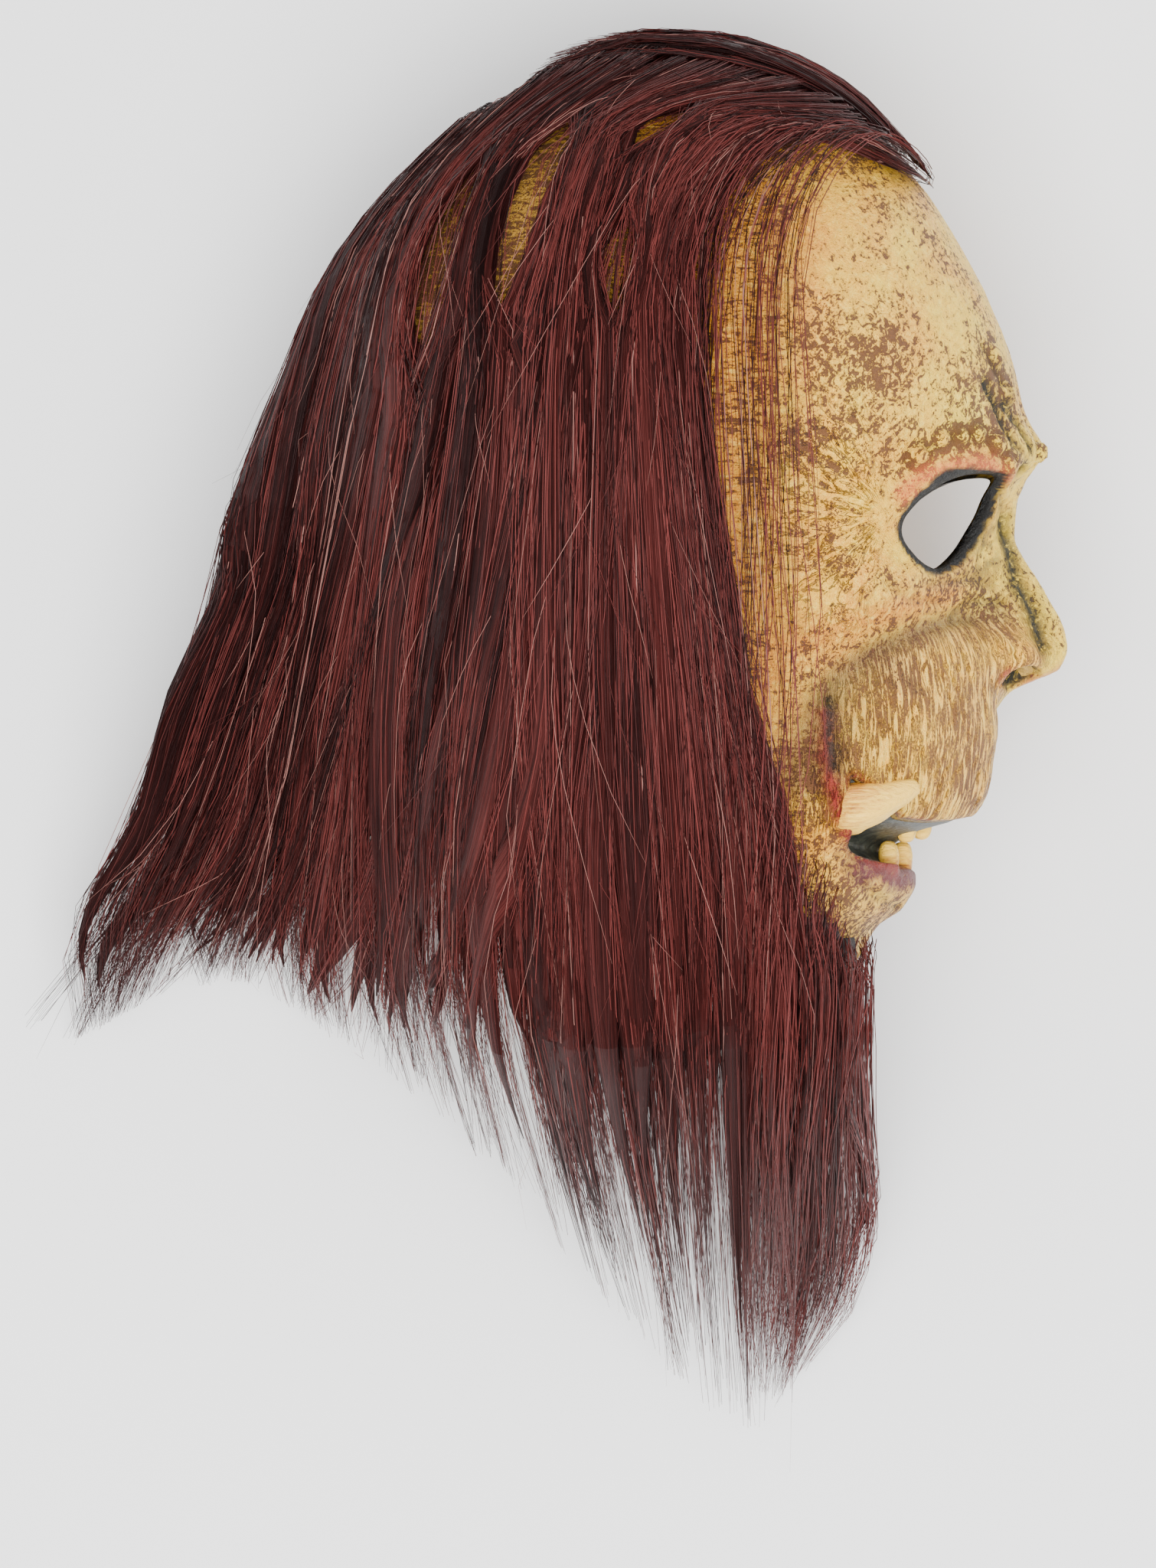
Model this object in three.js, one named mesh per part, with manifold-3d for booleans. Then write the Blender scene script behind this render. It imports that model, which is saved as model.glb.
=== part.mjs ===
// An over-head latex mask of an orangutan with long combed hair, lying on its left side.
// Millimetres. The floor is z = 0, +Z is the side that faces up (the mask's own right side),
// +X is the way the face looks and +Y runs from the chin to the crown.
import * as THREE from "three";
import { ParametricGeometry } from "three/addons/geometries/ParametricGeometry.js";
import { mergeVertices } from "three/addons/utils/BufferGeometryUtils.js";
import Module from "manifold-3d";

const wasm = await Module();
wasm.setup();

// Driving dimensions of the latex shell, in the head's frame: origin between the ears
const CROWN_Y = 139; // top of the skull
const RIM_Y = -143.5; // straight cut under the jaw
const HEAD_HEIGHT = CROWN_Y - RIM_Y;
const WALL = 3; // latex thickness
const HAIR_UNDER = 9; // hair pressed between the left cheek and the floor
const HALF_WIDTH = 85; // widest half breadth of the shell
const FLOOR = -(HALF_WIDTH + HAIR_UNDER); // floor, as a z of the head's frame
const GAP = 0.4; // clearance between separate pieces
// Where the head's origin stands in the part's frame: the part is centred on its own box
const HEAD_AT = new THREE.Vector3(37.8, 76.6, -FLOOR);

// Colours of the finishes
const LATEX = { color: 0xe3b25f, roughness: 0.55, metalness: 0 };
const HAIR = { color: 0x4a1d1f, roughness: 0.5, metalness: 0 };

// Curves through named sizes

// A smooth curve through [position, value] pairs that never overshoots them.
function smoothCurve(pairs) {
  const p = [...pairs].sort((a, b) => a[0] - b[0]);
  const slope = p.slice(1).map((b, i) => (b[1] - p[i][1]) / (b[0] - p[i][0]));
  const tangent = p.map((_, i) => {
    if (i === 0) return slope[0];
    if (i === p.length - 1) return slope[i - 1];
    const [s0, s1] = [slope[i - 1], slope[i]];
    return s0 * s1 <= 0 ? 0 : (2 * s0 * s1) / (s0 + s1);
  });
  return (at) => {
    const x = Math.min(Math.max(at, p[0][0]), p[p.length - 1][0]);
    let i = 0;
    while (i < p.length - 2 && x > p[i + 1][0]) i += 1;
    const h = p[i + 1][0] - p[i][0];
    const t = (x - p[i][0]) / h;
    const rise = t * t * (3 - 2 * t);
    return (
      p[i][1] * (1 - rise) +
      p[i + 1][1] * rise +
      h * tangent[i] * t * (1 - t) * (1 - t) -
      h * tangent[i + 1] * t * t * (1 - t)
    );
  };
}

const clamp01 = (t) => Math.min(Math.max(t, 0), 1);
const smoothstep = (a, b, x) => {
  const t = clamp01((x - a) / (b - a));
  return t * t * (3 - 2 * t);
};
// 1 at the centre of an ellipse, falling away like a bell
const bell = (x, y, cx, cy, rx, ry) => Math.exp(-(((x - cx) / rx) ** 2) - ((y - cy) / ry) ** 2);
const bell1 = (x, c, r) => Math.exp(-(((x - c) / r) ** 2));

// Shape of the bare head, slice by slice

// depth(y) is 0 at the crown and 1 at the rim, and grows as a square root, so a dome closes round.
const depthOf = (y) => Math.sqrt(clamp01((CROWN_Y - y) / HEAD_HEIGHT));
const heightOf = (depth) => CROWN_Y - HEAD_HEIGHT * depth * depth;
const byHeight = (pairs) => {
  const curve = smoothCurve(pairs.map(([y, value]) => [depthOf(y), value]));
  return (y) => curve(depthOf(y));
};

// Front line of the face without its nose: [height, distance in front of the ears]
const frontLine = byHeight([
  [CROWN_Y, -5],
  [135, 26],
  [126, 48],
  [113, 65],
  [96, 80.5],
  [81.6, 89.5],
  [57.6, 101.5],
  [33, 109],
  [15, 111],
  [0, 106.5],
  [-12, 103],
  [-35, 101],
  [-55, 100],
  [-70, 101.5],
  [-82, 100],
  [-91, 98],
  [-98, 92],
  [-106, 79],
  [-113, 73],
  [-120, 74],
  [-126, 72],
  [-132, 64],
  [RIM_Y, 57],
]);
// Back of the skull down to the nape
const backLine = byHeight([
  [CROWN_Y, -5],
  [135, -32],
  [126, -45],
  [109, -67],
  [86.4, -86.5],
  [62.4, -97],
  [38.4, -101],
  [14.4, -99],
  [-20, -91],
  [-57.6, -80],
  [-93.6, -71],
  [RIM_Y, -66],
]);
// Half the breadth of the head
const halfBreadth = byHeight([
  [CROWN_Y, 0],
  [135, 28],
  [125, 44],
  [105, 63],
  [80, 76],
  [50, 83.5],
  [20, HALF_WIDTH],
  [-30, 84.5],
  [-70, 82],
  [-100, 77],
  [-125, 70],
  [RIM_Y, 66],
]);
const middleLine = byHeight([
  [CROWN_Y, -5],
  [60, -12],
  [-40, -12],
  [RIM_Y, -6],
]);
// How square the slices are: 2 is an ellipse
const squareness = byHeight([
  [CROWN_Y, 2],
  [60, 2.05],
  [0, 1.82],
  [-90, 1.84],
  [RIM_Y, 2],
]);

// A point of the bare head's skin at angle (0 in front, half a turn behind), set in by inset.
function skinPoint(angle, y, inset = 0) {
  const middle = middleLine(y);
  const front = angle > -Math.PI / 2 && angle < Math.PI / 2;
  const reach = front ? frontLine(y) - middle : middle - backLine(y);
  const power = 2 / squareness(y);
  const c = Math.cos(angle);
  const s = Math.sin(angle);
  const along = Math.sign(c) * Math.abs(c) ** power;
  const across = Math.sign(s) * Math.abs(s) ** power;
  const shrink = (size) => Math.max(size - inset, size * 0.02);
  return new THREE.Vector3(
    middle + shrink(reach) * along,
    y - inset * (1 - smoothstep(0, 0.35, depthOf(y))),
    shrink(halfBreadth(y)) * across,
  );
}

// Features of the face, each a push out of the skin at height y and distance z from the middle

const NOSE_RIDGE = smoothCurve([
  [8, 0],
  [-9.6, 4],
  [-19.2, 9.5],
  [-28.8, 16],
  [-38.4, 21.5],
  [-45, 23],
  [-51, 21],
  [-55, 13],
  [-58, 6],
  [-64, 0],
]);
const NOSE_WIDTH = smoothCurve([
  [8, 7],
  [-10, 7.5],
  [-30, 10],
  [-45, 13],
  [-60, 15],
]);
// Rim of the right eye hole, as [distance from the middle, height] from its outer end upwards
const EYE_RIM = [
  [54.5, -2],
  [50.5, 7.2],
  [37, 9],
  [23.5, 7.2],
  [18, -2],
  [21.5, -11],
  [31, -17.5],
  [43, -21],
  [51.5, -15.5],
];
const EYE_SOCKET = { z: 35, y: -6, half_length: 22, half_height: 15, depth: 7 };
const MOUTH_HALF_WIDTH = 62;
// Edges of the mouth opening, from the middle out to its corner
const UPPER_LIP = smoothCurve([
  [0, -97],
  [20, -98.5],
  [38, -99.5],
  [50, -98.5],
  [57, -93],
  [MOUTH_HALF_WIDTH, -85],
]);
const LOWER_LIP = smoothCurve([
  [0, -113.5],
  [30, -112],
  [45, -109.5],
  [54, -105],
  [59, -98],
  [MOUTH_HALF_WIDTH, -87],
]);
// The muzzle is a rounded box under the cheeks: 1 on the fold round it, 0 at its middle.
const MUZZLE = { half_width: 67, middle: -86, half_height: 51, squareness: 3.5 };
const muzzleReach = (y, z) =>
  (Math.abs(z / MUZZLE.half_width) ** MUZZLE.squareness +
    Math.abs((y - MUZZLE.middle) / MUZZLE.half_height) ** MUZZLE.squareness) **
  (1 / MUZZLE.squareness);

function nosePush(y, z) {
  const wing = 6 * bell(Math.abs(z), y, 14, -47, 5, 7);
  return NOSE_RIDGE(y) * bell1(z, 0, NOSE_WIDTH(y)) + wing;
}

function facePush(y, z) {
  const side = Math.abs(z);
  const browLine = 17 - (side / 45) ** 2 * 10;
  const brow = 5 * bell1(y, browLine, 8) * (1 - smoothstep(45, 70, side));
  const frown = -2 * bell(side, y, 7, 22, 3, 16);
  const { z: eyeZ, y: eyeY, half_length, half_height, depth } = EYE_SOCKET;
  const socket = -depth * bell(side, y, eyeZ, eyeY, half_length, half_height);
  const cheek = 5 * bell(side, y, 60, -27, 17, 13);
  const reach = muzzleReach(y, z);
  const overMouth = smoothstep(-110, -96, y);
  const muzzle = 5 * smoothstep(-0.06, 0.3, 1 - reach) * smoothstep(4, 26, side) * overMouth;
  const fold = -3 * bell1(reach, 1.04, 0.13) * smoothstep(12, 24, side) * overMouth;
  const alongLip = (1 - smoothstep(54, 66, side)) * smoothstep(0, 14, side);
  const lowerLip = 3 * bell1(y, LOWER_LIP(side) - 6, 5) * alongLip;
  return brow + frown + socket + cheek + muzzle + fold + lowerLip;
}

// The skin with its face: pushes act outwards in the slice, and the nose straight ahead. Inside
// the shell they are those of the skin over it, so the wall keeps its thickness.
function facePoint(angle, y, inset = 0) {
  const p = skinPoint(angle, y, inset);
  if (Math.cos(angle) <= 0) return p;
  const ahead = smoothstep(0, 0.3, Math.cos(angle));
  const z = skinPoint(angle, y).z;
  const push = facePush(y, z) * ahead;
  const turn = Math.atan2(Math.sin(angle) * 0.8, Math.cos(angle));
  p.x += push * Math.cos(turn) + nosePush(y, Math.abs(z) + inset * 0.8) * ahead;
  p.z += push * Math.sin(turn);
  return p;
}

// Solids from surfaces

function solidFrom(geometry) {
  const bare = geometry.clone();
  for (const name of Object.keys(bare.attributes)) if (name !== "position") bare.deleteAttribute(name);
  const merged = mergeVertices(bare, 1e-3);
  const kept = [];
  const index = merged.index.array;
  for (let i = 0; i < index.length; i += 3) {
    const [a, b, c] = [index[i], index[i + 1], index[i + 2]];
    if (a !== b && b !== c && c !== a) kept.push(a, b, c);
  }
  const solid = new wasm.Manifold(
    new wasm.Mesh({
      numProp: 3,
      vertProperties: merged.attributes.position.array,
      triVerts: new Uint32Array(kept),
    }),
  );
  if (solid.volume() > 0) return solid;
  for (let i = 0; i < kept.length; i += 3) [kept[i + 1], kept[i + 2]] = [kept[i + 2], kept[i + 1]];
  return new wasm.Manifold(
    new wasm.Mesh({
      numProp: 3,
      vertProperties: merged.attributes.position.array,
      triVerts: new Uint32Array(kept),
    }),
  );
}

function geometryFrom(solid) {
  const mesh = solid.getMesh();
  const geometry = new THREE.BufferGeometry();
  geometry.setAttribute("position", new THREE.BufferAttribute(new Float32Array(mesh.vertProperties), 3));
  geometry.setIndex(new THREE.BufferAttribute(new Uint32Array(mesh.triVerts), 1));
  geometry.computeVertexNormals();
  return geometry;
}

// A closed head-shaped solid. Columns are closer together in front, rows in the face.
function headSolid({ columns, rows, inset = 0, face = true, below = 0 }) {
  const faceTop = 24;
  const domeRows = 0.22;
  const bottom = RIM_Y - below;
  const last = 1 - 1 / rows; // the last row runs straight to the axis and closes the bottom
  const heightAt = (v) => {
    if (v <= domeRows) return heightOf((v / domeRows) * depthOf(faceTop));
    return THREE.MathUtils.lerp(faceTop, bottom, clamp01((v - domeRows) / (last - domeRows)));
  };
  const surface = (u, v, target) => {
    const t = 1 - 2 * u;
    const angle = Math.PI * (0.6 * t + 0.4 * t ** 5);
    const y = heightAt(v);
    const shape = face ? facePoint : skinPoint;
    target.copy(shape(angle, Math.max(y, RIM_Y), inset));
    if (y < RIM_Y) target.y = y;
    if (v < 1e-6) target.set(middleLine(CROWN_Y), CROWN_Y - inset, 0);
    if (v > last + 1e-6) target.set(middleLine(RIM_Y), bottom, 0);
  };
  return solidFrom(new ParametricGeometry(surface, columns, rows));
}

// A round tapering solid along a path: sizeAt(t) gives half its width and half its thickness.
function taperedSolid({ path, sizeAt, outwardAt, sides = 6, steps = 9 }) {
  const curve = new THREE.CatmullRomCurve3(path);
  const surface = (u, v, target) => {
    const centre = curve.getPoint(v);
    const along = curve.getTangent(v);
    const across = new THREE.Vector3().crossVectors(along, outwardAt(centre, v)).normalize();
    const out = new THREE.Vector3().crossVectors(across, along).normalize();
    const [wide, thick] = sizeAt(v);
    const turn = -2 * Math.PI * u;
    target.copy(centre);
    target.addScaledVector(across, wide * Math.cos(turn));
    target.addScaledVector(out, thick * Math.sin(turn));
  };
  return solidFrom(new ParametricGeometry(surface, sides, steps));
}

function placedSolid(geometry, { at = [0, 0, 0], turn = [0, 0, 0], scale = [1, 1, 1] }) {
  const matrix = new THREE.Matrix4().compose(
    new THREE.Vector3(...at),
    new THREE.Quaternion().setFromEuler(new THREE.Euler(...turn)),
    new THREE.Vector3(...scale),
  );
  return solidFrom(geometry.clone().applyMatrix4(matrix));
}

const joined = (solids) => solids.reduce((all, one) => all.add(one));

// Latex shell

// A prism along X with the given outline of [z, y] points
function forwardPrism(outline, from, to) {
  const shape = new THREE.Shape(outline.map(([z, y]) => new THREE.Vector2(-z, y)));
  const geometry = new THREE.ExtrudeGeometry(shape, { depth: to - from, bevelEnabled: false });
  return placedSolid(geometry, { at: [from, 0, 0], turn: [0, Math.PI / 2, 0] });
}

function eyeHole(side) {
  const rim = new THREE.CatmullRomCurve3(EYE_RIM.map(([z, y]) => new THREE.Vector3(side * z, y, 0)), true);
  return forwardPrism(rim.getPoints(20).slice(0, -1).map((p) => [p.x, p.y]), 45, 130);
}

function mouthPrism(grow) {
  const steps = 12;
  const upper = [];
  const lower = [];
  for (let i = -steps; i <= steps; i += 1) {
    const share = i / steps;
    const z = MOUTH_HALF_WIDTH * Math.sin((share * Math.PI) / 2);
    const side = Math.abs(z);
    const spread = 1 + grow / MOUTH_HALF_WIDTH;
    upper.push([z * spread, UPPER_LIP(side) + grow]);
    lower.push([z * spread, LOWER_LIP(side) - grow]);
  }
  return forwardPrism([...upper, ...lower.reverse()], 0, 130);
}

function nostril(side) {
  const ball = new THREE.SphereGeometry(1, 10, 8);
  return placedSolid(ball, { at: [109, -56, side * 8.5], turn: [0, 0, 0.45], scale: [6.5, 4.5, 4] });
}

// The tusk leaves the corner of the mouth and points forward along the upper lip.
function tusk(side) {
  const size = smoothCurve([
    [0, 0],
    [0.06, 5],
    [0.25, 8],
    [0.5, 7],
    [0.75, 4.8],
    [0.93, 2.6],
    [1, 0],
  ]);
  return taperedSolid({
    path: [
      new THREE.Vector3(47, -97.5, side * 55),
      new THREE.Vector3(55, -94.8, side * 59.5),
      new THREE.Vector3(65, -92, side * 57.5),
      new THREE.Vector3(75.5, -87.8, side * 53),
    ],
    sizeAt: (t) => [size(t), size(t) * 0.9],
    outwardAt: () => new THREE.Vector3(0, 0, side),
    sides: 8,
    steps: 8,
  });
}

// Small blunt teeth: a row that hangs from the upper gum and a row that stands on the lower one
function smallTeeth() {
  const ball = new THREE.SphereGeometry(1, 7, 4);
  const teeth = [];
  for (const side of [-1, 1]) {
    for (const [x, y, z, wide] of [
      [77.6, -99.4, 5.5, 3.4],
      [72.6, -100.3, 16.5, 4.2],
      [71.5, -111, 9.5, 3.8],
      [67, -110.5, 20.5, 4],
    ]) {
      teeth.push(placedSolid(ball, { at: [x, y, side * z], scale: [3.2, 5.4, wide] }));
    }
  }
  return teeth;
}

function latexShell() {
  const outer = headSolid({ columns: 48, rows: 38 });
  const jawCore = headSolid({ columns: 16, rows: 12, inset: 21, face: false });
  const jawCoreInside = headSolid({ columns: 16, rows: 12, inset: 21 + WALL, face: false });
  const mouth = mouthPrism(0).subtract(jawCore);
  const mouthWall = mouthPrism(WALL).subtract(jawCoreInside);
  const hollow = headSolid({ columns: 34, rows: 28, inset: WALL, below: 20 }).subtract(mouthWall);
  return joined([outer.subtract(mouth), ...smallTeeth(), tusk(1), tusk(-1)])
    .subtract(hollow)
    .subtract(napeArch())
    .subtract(joined([eyeHole(1), eyeHole(-1), nostril(1), nostril(-1)]));
}

// The back is open up to an arch at the nape, which lets the head in.
function napeArch() {
  const arch = new THREE.Shape();
  const halfSpan = 46;
  const spring = -66;
  arch.moveTo(-halfSpan, RIM_Y - 10);
  arch.lineTo(halfSpan, RIM_Y - 10);
  arch.lineTo(halfSpan, spring);
  arch.absarc(0, spring, halfSpan, 0, Math.PI, false);
  const geometry = new THREE.ExtrudeGeometry(arch, { depth: 90, bevelEnabled: false, curveSegments: 12 });
  return placedSolid(geometry, { at: [-120, 0, 0], turn: [0, Math.PI / 2, 0] });
}

// Hair

// Half the thickness of the head at a place of the side view, 0 outside its outline. Hair keeps
// that height a little way past the rim.
const OVERHANG = 30;
function headHeight(x, y, lift = 0) {
  const top = CROWN_Y + lift;
  if (y < RIM_Y - OVERHANG || y > top) return 0;
  const level = CROWN_Y - ((top - y) * HEAD_HEIGHT) / (HEAD_HEIGHT + lift);
  const middle = middleLine(level);
  const reach = (x > middle ? frontLine(level) - middle : middle - backLine(level)) + lift;
  const power = squareness(level);
  const share = clamp01(Math.abs(x - middle) / reach);
  return (halfBreadth(level) + lift) * (1 - share ** power) ** (1 / power);
}

// Combed hair as seen from the side. A row holds the same part of every lock, from the back of
// the head to its front edge, and the rows run from the parting on the crown to the tips.
const SIDE_FLOW = [
  [[-70, 114], [-40, 133], [0, 142], [45, 129.5], [81, 99]],
  [[-101, 74], [-75, 92], [-43, 107], [-6, 114], [38, 112]],
  [[-118, 28], [-88, 40], [-53, 56], [-20, 68], [12, 80]],
  [[-133, -18], [-98, -12], [-59, -4], [-23, 2], [10, 10]],
  [[-151, -60], [-111, -62], [-67, -64], [-25, -62], [15, -56]],
  [[-163, -100], [-122, -106], [-72, -114], [-27, -118], [20, -112]],
  [[-187, -132], [-138, -134], [-74, -158], [-24, -184], [24, -184]],
  [[-199, -164], [-138, -146], [-62, -202], [-4, -270], [30, -296]],
];
// The beard, from the middle of the chin to the side of the jaw
const BEARD_FLOW = [
  [[62, -139], [47, -127], [25, -108]],
  [[56, -155], [43, -151], [26, -140]],
  [[49, -190], [40, -188], [29, -182]],
  [[49, -222], [42, -228], [33, -226]],
  [[46, -246], [42, -252], [37, -256]],
  [[37, -268], [37, -279], [37, -290]],
];

// A smooth curve through evenly spaced values, at a share of its length from 0 to 1
function evenCurve(values, share) {
  const at = clamp01(share) * (values.length - 1);
  const i = Math.min(Math.floor(at), values.length - 2);
  const t = at - i;
  const [a, b, c, d] = [-1, 0, 1, 2].map((step) => {
    const j = i + step;
    if (j < 0) return 2 * values[0] - values[1];
    if (j >= values.length) return 2 * values[values.length - 1] - values[values.length - 2];
    return values[j];
  });
  return b + 0.5 * t * (c - a + t * (2 * a - 5 * b + 4 * c - d + t * (3 * (b - c) + d - a)));
}

function flowPoint(flow, across, along) {
  const [x, y] = [0, 1].map((axis) =>
    evenCurve(
      flow.map((row) => evenCurve(row.map((p) => p[axis]), across)),
      along,
    ),
  );
  return new THREE.Vector3(x, y, 0);
}

const LIFT = 2.6; // hair stands this far off the skin
const RIM_LIFT = 3; // and this much further where it passes the rim
const clearHeight = (p) => headHeight(p.x, p.y, LIFT + RIM_LIFT * smoothstep(-95, -130, p.y));

const HAIR_DEPTH = 8.5; // thickness of the fullest locks
const STRAND_POINTS = 29;
const CROWDING = 1.5; // points of a strand are closer together near its root
const alongStrand = Array.from({ length: STRAND_POINTS }, (_, i) => (i / (STRAND_POINTS - 1)) ** CROWDING);

// Hair on top is pulled taut over the head from the parting to where its tip rests. Behind the
// skull the first share of its length is backed by the hair of the other side.
const BACKED = 0.45;
function tautHeights(points, rest) {
  const run = [0];
  for (let i = 1; i < points.length; i += 1) {
    run.push(run[i - 1] + Math.hypot(points[i].x - points[i - 1].x, points[i].y - points[i - 1].y));
  }
  const last = points.length - 1;
  const height = points.map((p, i) => {
    if (i === last) return rest;
    if (i === 0) return GAP;
    const over = clearHeight(p);
    return over > 0 || alongStrand[i] < BACKED ? over + GAP : -Infinity;
  });
  const held = [0];
  for (let i = 1; i <= last; i += 1) {
    if (height[i] === -Infinity) continue;
    while (held.length > 1) {
      const [a, b] = held.slice(-2);
      const bridge = height[a] + ((height[i] - height[a]) * (run[b] - run[a])) / (run[i] - run[a]);
      if (height[b] > bridge) break;
      held.pop();
    }
    held.push(i);
  }
  let k = 0;
  return points.map((_, i) => {
    while (k < held.length - 2 && i > held[k + 1]) k += 1;
    const [a, b] = [held[k], held[k + 1]];
    return THREE.MathUtils.lerp(height[a], height[b], (run[i] - run[a]) / (run[b] - run[a]));
  });
}

// Hair underneath falls away from the head to its bed on the floor.
function fallenHeights(points, bed) {
  let height = -GAP;
  return points.map((p, i) => {
    const steepness = 1.7 * smoothstep(0.2, 0.6, alongStrand[i]);
    const step = i ? Math.hypot(p.x - points[i - 1].x, p.y - points[i - 1].y) : 0;
    const under = i ? -clearHeight(p) - GAP : -GAP;
    height = Math.max(Math.min(under, height - steepness * step), bed);
    return height;
  });
}

function sideStrand(side, across) {
  const points = alongStrand.map((along) => flowPoint(SIDE_FLOW, across, along));
  const heights =
    side > 0
      ? tautHeights(points, FLOOR + 1.15 * HAIR_DEPTH)
      : fallenHeights(points, FLOOR + 0.45 * HAIR_DEPTH);
  points.forEach((p, i) => p.setZ(heights[i]));
  return points;
}

// The beard runs round the chin: across is -1 at the left jaw, 0 at the chin, 1 at the right jaw.
function beardStrand(across) {
  const side = Math.abs(across);
  const bed = FLOOR + HAIR_DEPTH * (0.8 + 0.5 * smoothstep(-0.2, 0.6, across));
  const points = alongStrand.map((along) => flowPoint(BEARD_FLOW, side, along));
  const sign = Math.sign(across);
  const root = sign * clearHeight(points[0]);
  points.forEach((p, i) => {
    const fall = smoothstep(0, 0.85, alongStrand[i]);
    const hanging = THREE.MathUtils.lerp(root, bed, fall);
    const skin = sign * (clearHeight(p) + GAP);
    p.z = Math.max(sign > 0 ? Math.max(hanging, skin) : Math.min(hanging, skin), bed);
  });
  return points;
}

// A sheet of hair as one closed body. Its locks are ridges that end in points of uneven length.
function hairSheet({ strand, locks, rows, outward, from = 0, to = 1 }) {
  const columns = 2 * locks;
  const lines = Array.from({ length: columns + 1 }, (_, c) => strand(from + ((to - from) * c) / columns));
  const reach = lines.map((_, c) => {
    if (c === 0 || c === columns) return 1;
    return c % 2 ? 1 - 0.014 * ((c * 3) % 4) : 0.94 - 0.014 * ((c * 5) % 3);
  });
  const shareAt = (c, v) => v - (1 - reach[c]) * smoothstep(0.75, 1, v);
  const strandAt = (c, share) => {
    const at = clamp01(share) * (STRAND_POINTS - 1);
    const i = Math.min(Math.floor(at), STRAND_POINTS - 2);
    return lines[c][i].clone().lerp(lines[c][i + 1], at - i);
  };
  const inner = (c, v) => strandAt(c, shareAt(c, v));
  const depthAt = (c, v) => {
    const ridge = c % 2 ? 1 : 0.5;
    const root = clamp01(v / 0.05);
    const fullness = 0.65 + 0.35 * smoothstep(0.15, 0.6, v);
    const tip = Math.sqrt(1 - smoothstep(0.75, 1, v));
    return HAIR_DEPTH * ridge * root * fullness * tip;
  };
  const outer = (c, v) => {
    const share = shareAt(c, v);
    const along = strandAt(c, share + 0.03).sub(strandAt(c, share - 0.03));
    const across = strandAt(Math.min(c + 1, columns), share).sub(strandAt(Math.max(c - 1, 0), share));
    const normal = new THREE.Vector3().crossVectors(along, across).normalize().multiplyScalar(outward);
    const p = strandAt(c, share).addScaledVector(normal, depthAt(c, v));
    p.z = Math.max(p.z, FLOOR);
    return p;
  };
  return solidFrom(closedSheet(outer, inner, columns, rows));
}

// Two surfaces joined all round. Their cells are split along the same diagonal, so a thin sheet
// never crosses itself.
function closedSheet(outer, inner, columns, rows) {
  const loop = 2 * columns + 2;
  const positions = [];
  const index = [];
  for (let r = 0; r <= rows; r += 1) {
    for (let k = 0; k < loop; k += 1) {
      const p = k <= columns ? outer(k, r / rows) : inner(loop - 1 - k, r / rows);
      positions.push(p.x, p.y, p.z);
    }
  }
  for (let r = 0; r < rows; r += 1) {
    for (let k = 0; k < loop; k += 1) {
      const next = (k + 1) % loop;
      const [a, b, c, d] = [r * loop + k, (r + 1) * loop + k, (r + 1) * loop + next, r * loop + next];
      if (k < columns) index.push(a, b, d, b, c, d);
      else index.push(a, b, c, a, c, d);
    }
  }
  const geometry = new THREE.BufferGeometry();
  geometry.setAttribute("position", new THREE.Float32BufferAttribute(positions, 3));
  geometry.setIndex(index);
  return geometry;
}

const sideHair = (side) =>
  hairSheet({
    strand: (across) => sideStrand(side, across),
    locks: 13,
    rows: 14,
    outward: side,
  });
const beardHair = hairSheet({ strand: beardStrand, locks: 10, rows: 9, outward: -1, from: -1 });

// Hair with a clear gap to the latex, also where a flat facet would touch it
const grownHead = headSolid({ columns: 34, rows: 28, inset: -2.5 * GAP, below: 2 });
const offTheSkin = (hair) => hair.subtract(grownHead).simplify(0.2);

// The largest body of a solid: a cut can leave crumbs behind
function largestBody(solid) {
  return solid.decompose().reduce((best, one) => (one.volume() > best.volume() ? one : best));
}

const mask = new THREE.Group();
mask.position.copy(HEAD_AT);

function addPiece(name, solid, finish) {
  const mesh = new THREE.Mesh(geometryFrom(largestBody(solid)), new THREE.MeshStandardMaterial(finish));
  mesh.name = name;
  mask.add(mesh);
}

addPiece("latex_mask", latexShell().simplify(0.5), LATEX);
addPiece("hair_right", offTheSkin(sideHair(1)), HAIR);
addPiece("hair_left", offTheSkin(sideHair(-1)), HAIR);
addPiece("beard", offTheSkin(beardHair), HAIR);

export default mask;
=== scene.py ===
"""An over-head latex mask of an orangutan with long combed hair, lying on its left side.

Sizes are millimetres in the head's frame: origin between the ears, x the way the face looks, y up
to the crown, z out of the mask's right side, which faces up. Blender's objects are in metres.
"""

import logging
import math
from collections.abc import Sequence
from dataclasses import dataclass, field, replace
from enum import Enum
from functools import reduce

import bpy
import numpy as np
from numpy.typing import NDArray
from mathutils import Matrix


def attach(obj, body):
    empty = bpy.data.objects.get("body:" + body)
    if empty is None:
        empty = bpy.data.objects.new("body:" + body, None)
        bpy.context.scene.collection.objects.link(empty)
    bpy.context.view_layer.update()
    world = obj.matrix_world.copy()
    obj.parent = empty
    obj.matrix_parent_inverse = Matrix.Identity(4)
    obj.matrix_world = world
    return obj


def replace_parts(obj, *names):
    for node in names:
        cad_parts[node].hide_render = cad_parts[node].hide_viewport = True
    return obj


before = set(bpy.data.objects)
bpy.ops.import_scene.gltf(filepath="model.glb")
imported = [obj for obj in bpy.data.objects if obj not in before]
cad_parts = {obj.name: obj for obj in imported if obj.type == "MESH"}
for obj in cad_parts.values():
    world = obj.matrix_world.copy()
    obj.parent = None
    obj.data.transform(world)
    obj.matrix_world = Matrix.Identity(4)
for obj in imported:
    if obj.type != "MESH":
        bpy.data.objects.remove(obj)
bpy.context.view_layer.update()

Array = NDArray[np.float64]
Pairs = Sequence[tuple[float, float]]
Colour = tuple[float, float, float, float]

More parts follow.
